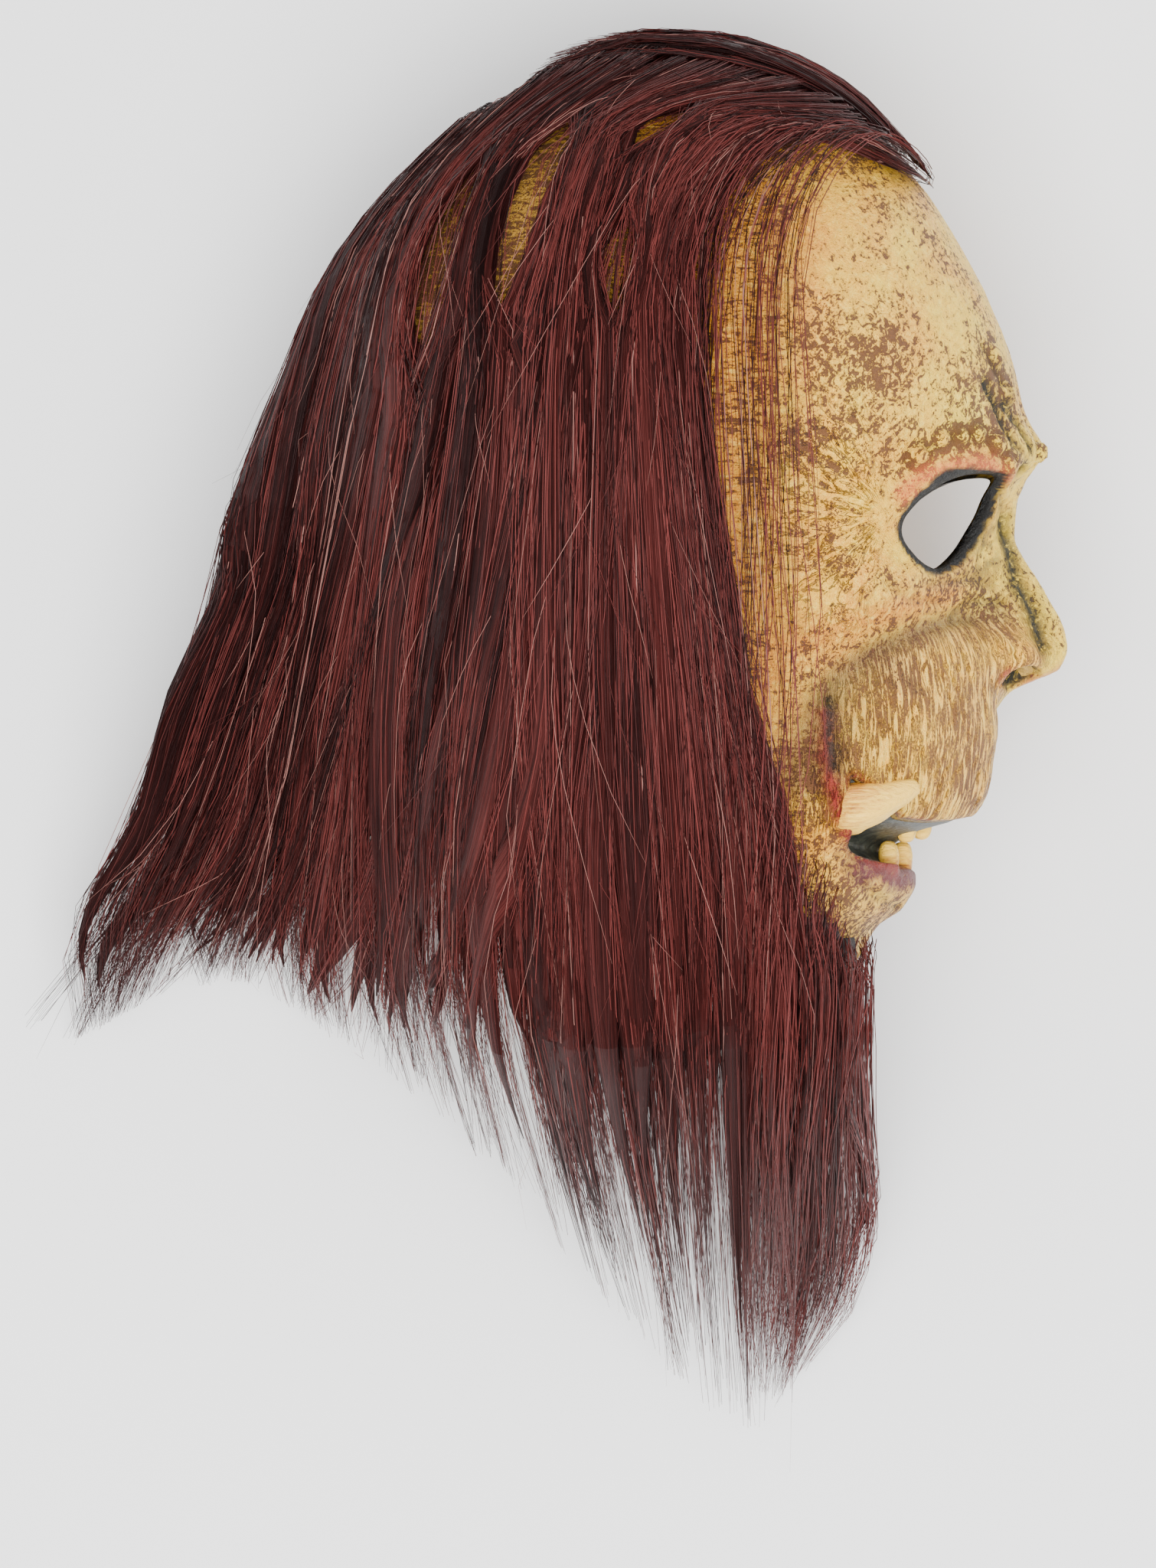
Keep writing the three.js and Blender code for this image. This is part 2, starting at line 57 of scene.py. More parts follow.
log = logging.getLogger("mask")

MM = 0.001
HEAD_AT = np.array([37.8, 76.6, 94.0])
CROWN_Y = 139.0
RIM_Y = -143.5
HEAD_HEIGHT = CROWN_Y - RIM_Y
WALL = 3.0
FLOOR = -94.0
GAP = 0.4
SEED = 7
HASH_PRIMES = (73856093, 19349663, 83492791)


class Slot(Enum):
    """The record's material slots."""

    LATEX = "latex_skin"
    HAIR = "hair"


# Maths


def smoothstep(low: float, high: float, x: Array) -> Array:
    """Rises from 0 at low to 1 at high: t * t * (3 - 2 * t), t the clamped share of the way."""
    t = np.clip((x - low) / (high - low), 0, 1)
    return t * t * (3 - 2 * t)


def bell(x: Array, centre: float | Array, radius: float | Array) -> Array:
    """A bell, exp(-((x - centre) / radius) squared): 1 at the centre and 0.37 a radius off it."""
    return np.exp(-(((x - centre) / radius) ** 2))


def signed_power(value: Array, power: Array | float) -> Array:
    """The size of a value raised to a power, with the value's sign."""
    return np.sign(value) * np.abs(value) ** power


def unit(vectors: Array) -> Array:
    """Vectors (last axis x, y, z) divided by their lengths, unchanged where they have none."""
    length = np.linalg.norm(vectors, axis=-1, keepdims=True)
    return vectors / np.where(length > 1e-9, length, 1)


class SmoothCurve:
    """A smooth curve through landmark sizes that never overshoots them.

    A cubic between each two landmarks, whose slope at a landmark is the harmonic mean of the slopes
    of the chords beside it, or 0 where they have opposite signs.
    """

    def __init__(self, pairs: Pairs) -> None:
        """Keeps the landmarks in order.

        Args:
            pairs: (position, value) landmarks, in any order.
        """
        ordered = np.array(sorted(pairs), dtype=float)
        self.at, self.value = ordered[:, 0], ordered[:, 1]
        slope = np.diff(self.value) / np.diff(self.at)
        before, after = slope[:-1], slope[1:]
        same = before * after > 0
        inner = np.where(same, 2 * before * after / np.where(same, before + after, 1), 0)
        self.tangent = np.concatenate([slope[:1], inner, slope[-1:]])

    def __call__(self, x: Array | float) -> Array:
        """The curve's value.

        Args:
            x: positions, held to the landmarks' range.

        Returns:
            The value at each position.
        """
        x = np.clip(x, self.at[0], self.at[-1])
        i = np.clip(np.searchsorted(self.at, x, side="left") - 1, 0, len(self.at) - 2)
        run = self.at[i + 1] - self.at[i]
        t = (x - self.at[i]) / run
        rise = t * t * (3 - 2 * t)
        lean = self.tangent[i] * t * (1 - t) ** 2 - self.tangent[i + 1] * t * t * (1 - t)
        return self.value[i] * (1 - rise) + self.value[i + 1] * rise + run * lean


def depth_of(y: Array | float) -> Array:
    """0 at the crown, 1 at the rim: the square root of the share of the head's height passed."""
    return np.sqrt(np.clip((CROWN_Y - np.asarray(y, dtype=float)) / HEAD_HEIGHT, 0, 1))


class HeightCurve(SmoothCurve):
    """A smooth curve of height, drawn over the depth so that a dome closes round."""

    def __init__(self, pairs: Pairs) -> None:
        """Keeps (height, value) landmarks by their depths."""
        super().__init__([(float(depth_of(y)), value) for y, value in pairs])

    def __call__(self, y: Array | float) -> Array:
        """The curve's value at each height."""
        return super().__call__(depth_of(y))


def even_curve(values: Array, share: Array) -> Array:
    """A smooth curve through evenly spaced values (uniform Catmull-Rom).

    With b and c the values on either side, a and d their neighbours, and t the share of the way
    from b to c, it is b + t / 2 * (c - a + t * (2a - 5b + 4c - d + t * (3 * (b - c) + d - a))).

    Args:
        values: the values, the first axis running along the curve.
        share: shares of the curve's length, from 0 to 1.

    Returns:
        The values at the shares: share's axis first, then the rest of values' axes.
    """
    padded = np.concatenate([2 * values[:1] - values[1:2], values, 2 * values[-1:] - values[-2:-1]])
    at = np.clip(share, 0, 1) * (len(values) - 1)
    i = np.minimum(at.astype(int), len(values) - 2)
    t = (at - i).reshape((-1,) + (1,) * (values.ndim - 1))
    a, b, c, d = (padded[i + step] for step in range(4))
    return b + 0.5 * t * (c - a + t * (2 * a - 5 * b + 4 * c - d + t * (3 * (b - c) + d - a)))


def value_noise(points: Array, seed: int) -> Array:
    """Smooth noise of about unit grain, from -1 to 1.

    Each whole-number corner holds a random value, hashed from its place, and the values of the
    eight corners round a point are blended by the smooth shares of the way between them.

    Args:
        points: places, with x, y, z on the last axis.
        seed: picks one of many noises.

    Returns:
        One value a point.
    """
    base = np.floor(points).astype(np.int64)
    t = points - base
    t = t * t * (3 - 2 * t)
    total = np.zeros(points.shape[:-1])
    for corner in range(8):
        step = np.array([corner & 1, corner >> 1 & 1, corner >> 2 & 1])
        cell = base + step
        parts = cell * HASH_PRIMES
        key = parts[..., 0] ^ parts[..., 1] ^ parts[..., 2] ^ seed * 7919
        key = (key ^ key >> 13) * 1274126177 & 0x7FFFFFFF
        weight = np.prod(np.where(step, t, 1 - t), axis=-1)
        total += weight * ((key ^ key >> 16) % 65536 / 32767.5 - 1)
    return total


def line_distance(points: Array, line: Array) -> Array:
    """Distance from points to a line of straight pieces.

    On each piece the nearest place is at the point's share along it, held between 0 and 1.

    Args:
        points: places, one row each.
        line: the line's corners, one row each.

    Returns:
        The least distance of each point.
    """
    best = np.full(len(points), np.inf)
    for start, end in zip(line[:-1], line[1:]):
        run = end - start
        share = np.clip((points - start) @ run / max(run @ run, 1e-9), 0, 1)
        best = np.minimum(best, np.linalg.norm(points - start - share[:, None] * run, axis=1))
    return best


# The head


class Head:
    """The mask's skin without its finer relief, slice by slice.

    A slice at one height is a superellipse, wider or squarer as the landmarks say, and the face's
    forms are pushes out of it.
    """

    FRONT = [
        (CROWN_Y, -5), (135, 26), (126, 48), (113, 65), (96, 80.5), (81.6, 89.5), (57.6, 101.5),
        (33, 109), (15, 111), (0, 106.5), (-12, 103), (-35, 101), (-55, 100), (-70, 101.5),
        (-82, 100), (-91, 98), (-98, 92), (-106, 79), (-113, 73), (-120, 74), (-126, 72),
        (-132, 64), (RIM_Y, 57),
    ]  # fmt: skip
    BACK = [
        (CROWN_Y, -5), (135, -32), (126, -45), (109, -67), (86.4, -86.5), (62.4, -97),
        (38.4, -101), (14.4, -99), (-20, -91), (-57.6, -80), (-93.6, -71), (RIM_Y, -66),
    ]  # fmt: skip
    BREADTH = [
        (CROWN_Y, 0), (135, 28), (125, 44), (105, 63), (80, 76), (50, 83.5), (20, 85), (-30, 84.5),
        (-70, 82), (-100, 77), (-125, 70), (RIM_Y, 66),
    ]  # fmt: skip
    MIDDLE = [(CROWN_Y, -5), (60, -12), (-40, -12), (RIM_Y, -6)]
    SQUARENESS = [(CROWN_Y, 2), (60, 2.05), (0, 1.82), (-90, 1.84), (RIM_Y, 2)]
    NOSE_RIDGE = [
        (8, 0), (-9.6, 4), (-19.2, 9.5), (-28.8, 16), (-38.4, 21.5), (-45, 23), (-51, 21),
        (-55, 13), (-58, 6), (-64, 0),
    ]  # fmt: skip
    NOSE_WIDTH = [(8, 7), (-10, 7.5), (-30, 10), (-45, 13), (-60, 15)]
    UPPER_LIP = [(0, -97), (20, -98.5), (38, -99.5), (50, -98.5), (57, -93), (62, -85)]
    LOWER_LIP = [(0, -113.5), (30, -112), (45, -109.5), (54, -105), (59, -98), (62, -87)]
    MOUTH_HALF_WIDTH = 62.0
    MUZZLE_Y = -86.0
    MUZZLE_HALF_WIDTH = 67.0
    MUZZLE_HALF_HEIGHT = 51.0
    MUZZLE_POWER = 3.5
    MUZZLE_AXIS_X = 32.0
    MUZZLE_RADIUS = 70.0
    EYE_CORNER = (66.0, -4.0)
    BELOW_RIM = 30.0
    EYE_RIM = [
        (52.6, -2.4), (49.2, 6.4), (37, 9), (23.5, 7.2), (18, -2), (21.5, -11), (31, -17.5),
        (42.4, -20.4), (50, -15),
    ]  # fmt: skip

    def __init__(self) -> None:
        """Draws the curves through their landmarks."""
        self.front = HeightCurve(self.FRONT)
        self.back = HeightCurve(self.BACK)
        self.breadth = HeightCurve(self.BREADTH)
        self.middle = HeightCurve(self.MIDDLE)
        self.squareness = HeightCurve(self.SQUARENESS)
        self.nose_ridge = SmoothCurve(self.NOSE_RIDGE)
        self.nose_width = SmoothCurve(self.NOSE_WIDTH)
        self.upper_lip = SmoothCurve(self.UPPER_LIP)
        self.lower_lip = SmoothCurve(self.LOWER_LIP)

    def skin(self, angle: Array, y: Array, inset: Array | float = 0) -> Array:
        """Points of the bare skull.

        In a slice, x runs from the middle by reach * cos(angle) to a power, and z by breadth *
        sin(angle) to that power, with power = 2 / squareness and both sizes less the inset.

        Args:
            angle: turn round the head, 0 in front, positive to the mask's right.
            y: heights.
            inset: how far under the skin.

        Returns:
            The points, x, y, z on the last axis.
        """
        middle = self.middle(y)
        ahead = np.cos(angle) > 0
        reach = np.where(ahead, self.front(y) - middle, middle - self.back(y))
        breadth = self.breadth(y)
        power = 2 / self.squareness(y)
        least = 0.02
        x = middle + np.maximum(reach - inset, reach * least) * signed_power(np.cos(angle), power)
        z = np.maximum(breadth - inset, breadth * least) * signed_power(np.sin(angle), power)
        down = inset * (1 - smoothstep(0, 0.35, depth_of(y)))
        return np.stack(np.broadcast_arrays(x, y - down, z), axis=-1)

    def muzzle_reach(self, y: Array, z: Array) -> Array:
        """1 on the fold round the muzzle and 0 at its middle, by a superellipse.

        Args:
            y: heights.
            z: distances from the middle.

        Returns:
            The reach of each place.
        """
        aside = np.abs(z / self.MUZZLE_HALF_WIDTH) ** self.MUZZLE_POWER
        up = np.abs((y - self.MUZZLE_Y) / self.MUZZLE_HALF_HEIGHT) ** self.MUZZLE_POWER
        return (aside + up) ** (1 / self.MUZZLE_POWER)

    def push(self, y: Array, z: Array) -> Array:
        """How far brow, sockets, cheeks, muzzle and lower lip stand out of the bare skull.

        Each is a bell or a smooth step of the height and of the distance from the middle.

        Args:
            y: heights.
            z: distances from the middle.

        Returns:
            The push at each place.
        """
        side = np.abs(z)
        brow = 5 * bell(y, 17 - (side / 45) ** 2 * 10, 8) * (1 - smoothstep(45, 70, side))
        frown = -2 * bell(side, 7, 3) * bell(y, 22, 16)
        socket = -7 * bell(side, 35, 22) * bell(y, -6, 15)
        cheek = 5 * bell(side, 60, 17) * bell(y, -27, 13)
        reach = self.muzzle_reach(y, z)
        over_mouth = smoothstep(-110, -96, y)
        muzzle = 5 * smoothstep(-0.06, 0.3, 1 - reach) * smoothstep(4, 26, side) * over_mouth
        fold = -3 * bell(reach, 1.04, 0.13) * smoothstep(12, 24, side) * over_mouth
        along_lip = (1 - smoothstep(54, 66, side)) * smoothstep(0, 14, side)
        lip = 3 * bell(y, self.lower_lip(side) - 6, 5) * along_lip
        return brow + frown + socket + cheek + muzzle + fold + lip

    def nose(self, y: Array, z: Array) -> Array:
        """How far the nose stands ahead: its ridge times a bell across it, and a bell a wing."""
        wing = 6 * bell(np.abs(z), 14, 5) * bell(y, -47, 7)
        return self.nose_ridge(y) * bell(z, 0, self.nose_width(y)) + wing

    def point(self, angle: Array, y: Array, inset: Array | float = 0) -> Array:
        """Points of the face: the skull's, moved by the pushes in the slice and by the nose in x.

        Args:
            angle: turn round the head.
            y: heights.
            inset: how far under the skin.

        Returns:
            The points, x, y, z on the last axis.
        """
        p = self.skin(angle, y, inset)
        z = self.skin(angle, y)[..., 2]
        ahead = smoothstep(0, 0.3, np.cos(angle))
        push = self.push(y, z) * ahead
        forward = 0.8
        turn = np.arctan2(forward * np.sin(angle), np.cos(angle))
        p[..., 0] += push * np.cos(turn) + self.nose(y, np.abs(z) + 0.8 * inset) * ahead
        p[..., 2] += push * np.sin(turn)
        return p

    def half_height(self, x: Array, y: Array, lift: Array | float) -> Array:
        """Half the head's thickness at a place of its side view, 0 outside its outline.

        Args:
            x: distances in front of the ears.
            y: heights; the rim's slice carries on below it.
            lift: how much larger the head is taken.

        Returns:
            The z of the skin at each place.
        """
        top = CROWN_Y + lift
        level = CROWN_Y - (top - y) * HEAD_HEIGHT / (HEAD_HEIGHT + lift)
        middle = self.middle(level)
        ahead = x > middle
        reach = np.where(ahead, self.front(level) - middle, middle - self.back(level)) + lift
        power = self.squareness(level)
        share = np.clip(np.abs(x - middle) / reach, 0, 1)
        height = (self.breadth(level) + lift) * (1 - share**power) ** (1 / power)
        return np.where((y < RIM_Y - self.BELOW_RIM) | (y > top), 0, height)

    def eye_outline(self, side: int) -> Array:
        """The rim of an eye hole in z and y, a closed Catmull-Rom curve of 120 points.

        Args:
            side: 1 for the right eye, -1 for the left.

        Returns:
            The outline, the first point repeated at its end.
        """
        knots = np.array([(side * z, y) for z, y in self.EYE_RIM])
        looped = np.concatenate([knots[-3:], knots, knots[:4]])
        share = (3 + np.linspace(0, 1, 121) * len(knots)) / (len(looped) - 1)
        return even_curve(looped, share)

    def mouth_outline(self) -> Array:
        """The edge of the mouth in z and y: along the upper lip and back along the lower one.

        Returns:
            The outline, the first point repeated at its end.
        """
        z = self.MOUTH_HALF_WIDTH * np.sin(np.linspace(-1, 1, 81) * math.pi / 2)
        upper = np.stack([z, self.upper_lip(np.abs(z))], axis=1)
        lower = np.stack([z, self.lower_lip(np.abs(z))], axis=1)[::-1]
        return np.concatenate([upper, lower, upper[:1]])


HEAD = Head()


# Meshes


@dataclass
class Mesh:
    """Corners, faces and per-corner values of one piece, in the head's millimetres."""

    points: Array
    quads: NDArray[np.int64] = field(default_factory=lambda: np.zeros((0, 4), int))
    triangles: NDArray[np.int64] = field(default_factory=lambda: np.zeros((0, 3), int))
    values: dict[str, Array] = field(default_factory=dict)

    def joined(self, other: "Mesh") -> "Mesh":
        """Both meshes as one, side by side.

        Args:
            other: the mesh to add.

        Returns:
            A mesh with the points, faces and shared values of both.
        """
        shift = len(self.points)
        return Mesh(
            np.concatenate([self.points, other.points]),
            np.concatenate([self.quads, other.quads + shift]),
            np.concatenate([self.triangles, other.triangles + shift]),
            {k: np.concatenate([v, other.values[k]]) for k, v in self.values.items()},
        )

    def piece(self, name: str, material: bpy.types.Material, slot: Slot) -> bpy.types.Object:
        """Makes the Blender object, smooth shaded and fixed to the mask.

        Args:
            name: the object's name.
            material: its finish.
            slot: the record's slot it belongs to; not used.

        Returns:
            The new object.
        """
        mesh = bpy.data.meshes.new(name)
        placed = ((self.points + HEAD_AT) * MM).astype(np.float32)
        corners = np.concatenate([self.quads.ravel(), self.triangles.ravel()]).astype(np.int32)
        sizes = np.concatenate([np.full(len(self.quads), 4), np.full(len(self.triangles), 3)])
        starts = np.concatenate([[0], np.cumsum(sizes)[:-1]]).astype(np.int32)
        mesh.vertices.add(len(placed))
        mesh.vertices.foreach_set("co", placed.ravel())
        mesh.loops.add(len(corners))
        mesh.loops.foreach_set("vertex_index", corners)
        mesh.polygons.add(len(sizes))
        mesh.polygons.foreach_set("loop_start", starts)
        mesh.polygons.foreach_set("use_smooth", np.ones(len(sizes), dtype=bool))
        for key, value in self.values.items():
            layer = mesh.attributes.new(key, "FLOAT", "POINT")
            layer.data.foreach_set("value", value.astype(np.float32))
        mesh.materials.append(material)
        mesh.update(calc_edges=True)
        mesh.validate()
        made = bpy.data.objects.new(name, mesh)
        bpy.context.scene.collection.objects.link(made)
        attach(made, "root")
        count = 2 * len(self.quads) + len(self.triangles)
        log.info("%s: %d triangles", name, count)
        return made


def grid_quads(rows: int, columns: int, wrap: bool = False) -> NDArray[np.int64]:
    """Quads over a grid of points stored row by row.

    Args:
        rows: rows of points.
        columns: columns of points.
        wrap: whether the last column joins the first.

    Returns:
        The quads, one row each.
    """
    across = columns if wrap else columns - 1
    r, c = np.meshgrid(np.arange(rows - 1), np.arange(across), indexing="ij")
    ahead = (c + 1) % columns
    quad = [r * columns + c, (r + 1) * columns + c, (r + 1) * columns + ahead, r * columns + ahead]
    return np.stack(quad, axis=-1).reshape(-1, 4)


def closed_sheet(outer: Array, inner: Array) -> Mesh:
    """Two grids of points joined all round into one thin closed body.

    The faces are turned round if the volume that they enclose comes out negative.

    Args:
        outer: the outer face, rows by columns by x, y, z.
        inner: the inner face, shaped alike.

    Returns:
        The body.
    """
    rows, columns = outer.shape[:2]
    ring = np.concatenate([outer, inner[:, ::-1]], axis=1)
    body = Mesh(ring.reshape(-1, 3), grid_quads(rows, 2 * columns, wrap=True))
    k = np.arange(columns - 1)
    far = 2 * columns - 1 - k
    first = np.stack([k, k + 1, far - 1, far], axis=-1)
    last = (rows - 1) * 2 * columns + first[:, ::-1]
    body.quads = np.concatenate([body.quads, first, last])
    corner = body.points[body.quads]
    facing = np.cross(corner[:, 2] - corner[:, 0], corner[:, 3] - corner[:, 1])
    if (facing * corner.mean(axis=1)).sum() < 0:
        body.quads = body.quads[:, ::-1]
    return body


def capped_tubes(ring: Array) -> Mesh:
    """Closed tubes through rings of points.

    A tube's faces are turned round if together they face its axis.

    Args:
        ring: the rings, tubes by places by points by x, y, z.

    Returns:
        The tubes as one mesh.
    """
    n, k, m = ring.shape[:3]
    side = grid_quads(k, m, wrap=True)
    fan = np.arange(1, m - 1)
    first = np.stack([0 * fan, fan, fan + 1], axis=1)
    cap = np.concatenate([first, first[:, ::-1] + (k - 1) * m])
    corner = ring.reshape(n, -1, 3)[:, side]
    facing = np.cross(corner[:, :, 1] - corner[:, :, 0], corner[:, :, 3] - corner[:, :, 0])
    axis = ring.mean(axis=2)[:, side[:, 0] // m]
    inward = ((facing * (corner.mean(axis=2) - axis)).sum(axis=(1, 2)) < 0)[:, None, None]
    shift = (np.arange(n) * k * m)[:, None, None]
    quads, caps = (np.where(inward, face[:, ::-1], face) + shift for face in (side, cap))
    return Mesh(ring.reshape(-1, 3), quads.reshape(-1, 4), caps.reshape(-1, 3))


# The latex shell


@dataclass(frozen=True)
class Groove:
    """A line pressed or painted into the skin, through places of the side view."""

    line: Pairs
    width: float
    depth: float
    dark: float = 0.0


@dataclass(frozen=True)
class Knob:
    """A lump on the skin at a place of the side view."""

    x: float
    y: float
    radius: float
    height: float


@dataclass
class LatexShell:
    """The moulded shell: an outer skin with its relief, an inner one and the edges between.

    The columns run round the head and the rows from the crown to the rim. Cells inside an eye hole,
    the mouth or the nape's arch are left out, with the points along each outline moved onto it.
    """

    columns: int = 216
    dome_rows: int = 22
    face_rows: int = 196

    DOME_END = 60.0
    # Spacing of the columns: angle, relative spacing
    ANGLE_SPACING = (
        (-3.1416, 9), (-1.9, 9), (-1.4, 2.4), (-0.05, 2.0), (0.05, 1.15), (1.25, 1.15), (1.6, 1.7),
        (2.0, 9), (3.1416, 9),
    )  # fmt: skip
    # Spacing of the rows: millimetres below the dome, relative spacing
    DOWN_SPACING = (
        (0, 1.9), (30, 1.7), (38, 1.1), (82, 1.1), (90, 1.3), (107, 1.2), (110, 0.6), (124, 0.6),
        (128, 1.2), (148, 1.2), (153, 0.85), (182, 0.85), (190, 1.5), (203.5, 1.7),
    )  # fmt: skip
    NAPE_HALF_SPAN = 46.0
    NAPE_SPRING = -66.0
    CUT_MARGIN = (12.0, 9.0)

    GROOVES = (
        Groove([(97, 37), (101.5, 30), (106, 20), (109, 10)], 1.9, 2.2, 1.0),
        Groove([(103.5, 31), (108, 25), (111.5, 18)], 1.6, 1.7, 1.0),
        Groove([(96, 50), (100, 42), (103.5, 35)], 1.6, 1.0, 0.5),
        Groove([(103.5, -6), (105, -14), (108, -24), (112, -34), (116, -44)], 3.0, 1.6, 1.0),
        Groove([(87, -35.5), (91, -32), (97, -30), (103, -30.5)], 1.3, 1.1, 0.5),
        Groove([(80, -25), (87, -24), (94, -23), (100, -25)], 1.4, 0.9, 0.4),
        Groove([(66, -26), (74, -30), (82, -32)], 1.4, 0.9, 0.3),
        Groove([(101, 4), (104, -2), (104.5, -9)], 1.7, 1.0, 0.5),
        Groove([(58, -30), (50, -22), (44, -12)], 1.6, 0.8, 0.15),
        Groove([(62, -122), (66, -125), (70, -126)], 1.5, 0.9, 0.4),
        Groove([(50, -108), (56, -116), (62, -121)], 1.6, 0.9, 0.3),
        Groove([(48, -62), (47.5, -72), (49, -82)], 2.2, 1.4, 0.9),
    )
    KNOBS = (
        Knob(75.6, 14, 3.8, 2.4), Knob(82.8, 19.2, 3.4, 1.2), Knob(88.8, 21, 3.2, 1.2),
        Knob(95, 21.4, 3.4, 1.4), Knob(101, 18, 3.6, 1.5), Knob(104, 12, 3.4, 1.4),
        Knob(113.5, 16.5, 3.6, 2.2), Knob(104, 34, 5, 1.4), Knob(100.5, 46, 5, 1.0),
    )  # fmt: skip
    CHEEK_LIP = (
        (47.5, -66), (46.6, -76), (47.2, -86), (50, -96), (53.5, -104), (60, -110), (67, -114),
    )  # fmt: skip
    UPPER_LID = ((71, 3), (77, 8), (87, 11.5), (97, 12.5), (104, 8))
    UNDER_NOSE = ((104, -54), (112, -55), (120, -52))
    # Brown wash: x, y, reach in x, reach in y, amount
    WASH = (
        (45, 109, 34, 11, 0.34), (48, 88, 9, 9, -0.3), (57, 44, 16, 19, 0.3),
        (81, 60, 9, 17, -0.2), (94, 33, 12, 15, 0.4), (34, 20, 17, 19, 0.2),
        (22, 70, 13, 34, 0.14), (39, -17, 8, 10, 0.16), (86, -26, 14, 5, 0.2),
        (38, -74, 13, 34, 0.2), (51, -128, 20, 13, 0.36), (97, -34, 8, 8, 0.1),
        (110, -46, 8, 8, -0.22), (72, -14, 10, 9, -0.14),
    )  # fmt: skip
    EVEN_WASH = 0.235

    def __post_init__(self) -> None:
        """Lays out the grid, moves it onto the cut outlines and lays it on the skin."""
        self.angle, self.y = self._layout()
        self.inside = np.zeros(self.angle.shape, bool)
        self.on_edge = np.zeros(self.angle.shape, bool)
        ahead = np.cos(self.angle) > 0
        for side in (1, -1):
            self._cut(HEAD.eye_outline(side), ahead & (np.sin(self.angle) * side > 0))
        self._cut(HEAD.mouth_outline(), ahead)
        self._cut(self._nape_outline(), ~ahead)
        self.base = HEAD.point(self.angle, self.y)
        self.base[0] = (HEAD.middle(CROWN_Y), CROWN_Y, 0)
        self.folded = self.base.reshape(-1, 3).copy()
        self.folded[:, 2] = np.abs(self.folded[:, 2])
        self.normal = self._normals()
        self.ahead = smoothstep(-0.1, 0.25, np.cos(self.angle)).ravel()
        self.rim = self._outline_distance(HEAD.eye_outline(1))
        self.lip = self._outline_distance(HEAD.mouth_outline())

    @staticmethod
    def _spread(spacing: Pairs, count: int) -> Array:
        """Values whose spacing follows a curve.

        Their number passed grows as the sum of 1 / spacing, and they are read off where that sum
        passes even shares of its end value.

        Args:
            spacing: (value, wanted spacing) landmarks.
            count: how many values.

        Returns:
            The values, from the least landmark to the greatest.
        """
        marks = np.array(spacing, dtype=float)
        fine = np.linspace(marks[0, 0], marks[-1, 0], 4000)
        passed = np.cumsum(1 / np.interp(fine, marks[:, 0], marks[:, 1]))
        passed = (passed - passed[0]) / (passed[-1] - passed[0])
        return np.interp(np.linspace(0, 1, count), passed, fine)

    def _layout(self) -> tuple[Array, Array]:
        """The grid's angles and heights: finer in the face, and finest on its right side.

        Returns:
            The angle and the height of each point, rows by columns.
        """
        turn = self._spread(self.ANGLE_SPACING, self.columns + 1)[:-1]
        share = np.linspace(0, 1, self.dome_rows, endpoint=False)
        dome = CROWN_Y - HEAD_HEIGHT * (share * depth_of(self.DOME_END)) ** 2
        down = self._spread(self.DOWN_SPACING, self.face_rows)
        y = np.concatenate([dome, self.DOME_END - down])
        y[-1] = RIM_Y
        return tuple(np.meshgrid(turn, y, indexing="xy"))

    @classmethod
    def _nape_outline(cls) -> Array:
        """The arch at the nape in z and y, a half circle on two posts, run out below the rim.

        Returns:
            The outline, the first point repeated at its end.
        """
        span, turn = cls.NAPE_HALF_SPAN, np.linspace(0, math.pi, 41)
        arch = np.stack([span * np.cos(turn), cls.NAPE_SPRING + span * np.sin(turn)], axis=1)
        feet = [(-span, RIM_Y - 10), (span, RIM_Y - 10), tuple(arch[0])]
        return np.concatenate([arch, feet])

    @staticmethod
    def _boxed(points: Array, outline: Array, margin: Sequence[float]) -> NDArray[np.bool_]:
        """Whether z and y of each point are within an outline's box, widened by a margin."""
        low, high = outline.min(axis=0) - margin, outline.max(axis=0) + margin
        return ((points[..., [2, 1]] > low) & (points[..., [2, 1]] < high)).all(axis=-1)

    @staticmethod
    def _signed(points: Array, outline: Array) -> tuple[Array, Array]:
        """Distance to a closed outline, negative inside, and the nearest place on it.

        A point is inside if a ray from it crosses the outline an odd number of times.

        Args:
            points: places, z and y.
            outline: the outline's corners.

        Returns:
            The signed distances and the nearest places.
        """
        start, run = outline[:-1], np.diff(outline, axis=0)
        gap = points[:, None] - start
        share = np.clip((gap * run).sum(-1) / np.maximum((run * run).sum(-1), 1e-12), 0, 1)
        near = start + share[..., None] * run
        off = np.linalg.norm(points[:, None] - near, axis=-1)
        best = off.argmin(axis=1)
        z, y = points[:, :1], points[:, 1:]
        end = outline[1:]
        spans = (start[:, 1] > y) != (end[:, 1] > y)
        rise = np.where(run[:, 1] == 0, 1e-12, run[:, 1])
        crossing = spans & (z < start[:, 0] + (y - start[:, 1]) / rise * run[:, 0])
        odd = crossing.sum(axis=1) % 2 == 1
        row = np.arange(len(points))
        return np.where(odd, -1, 1) * off[row, best], near[row, best]

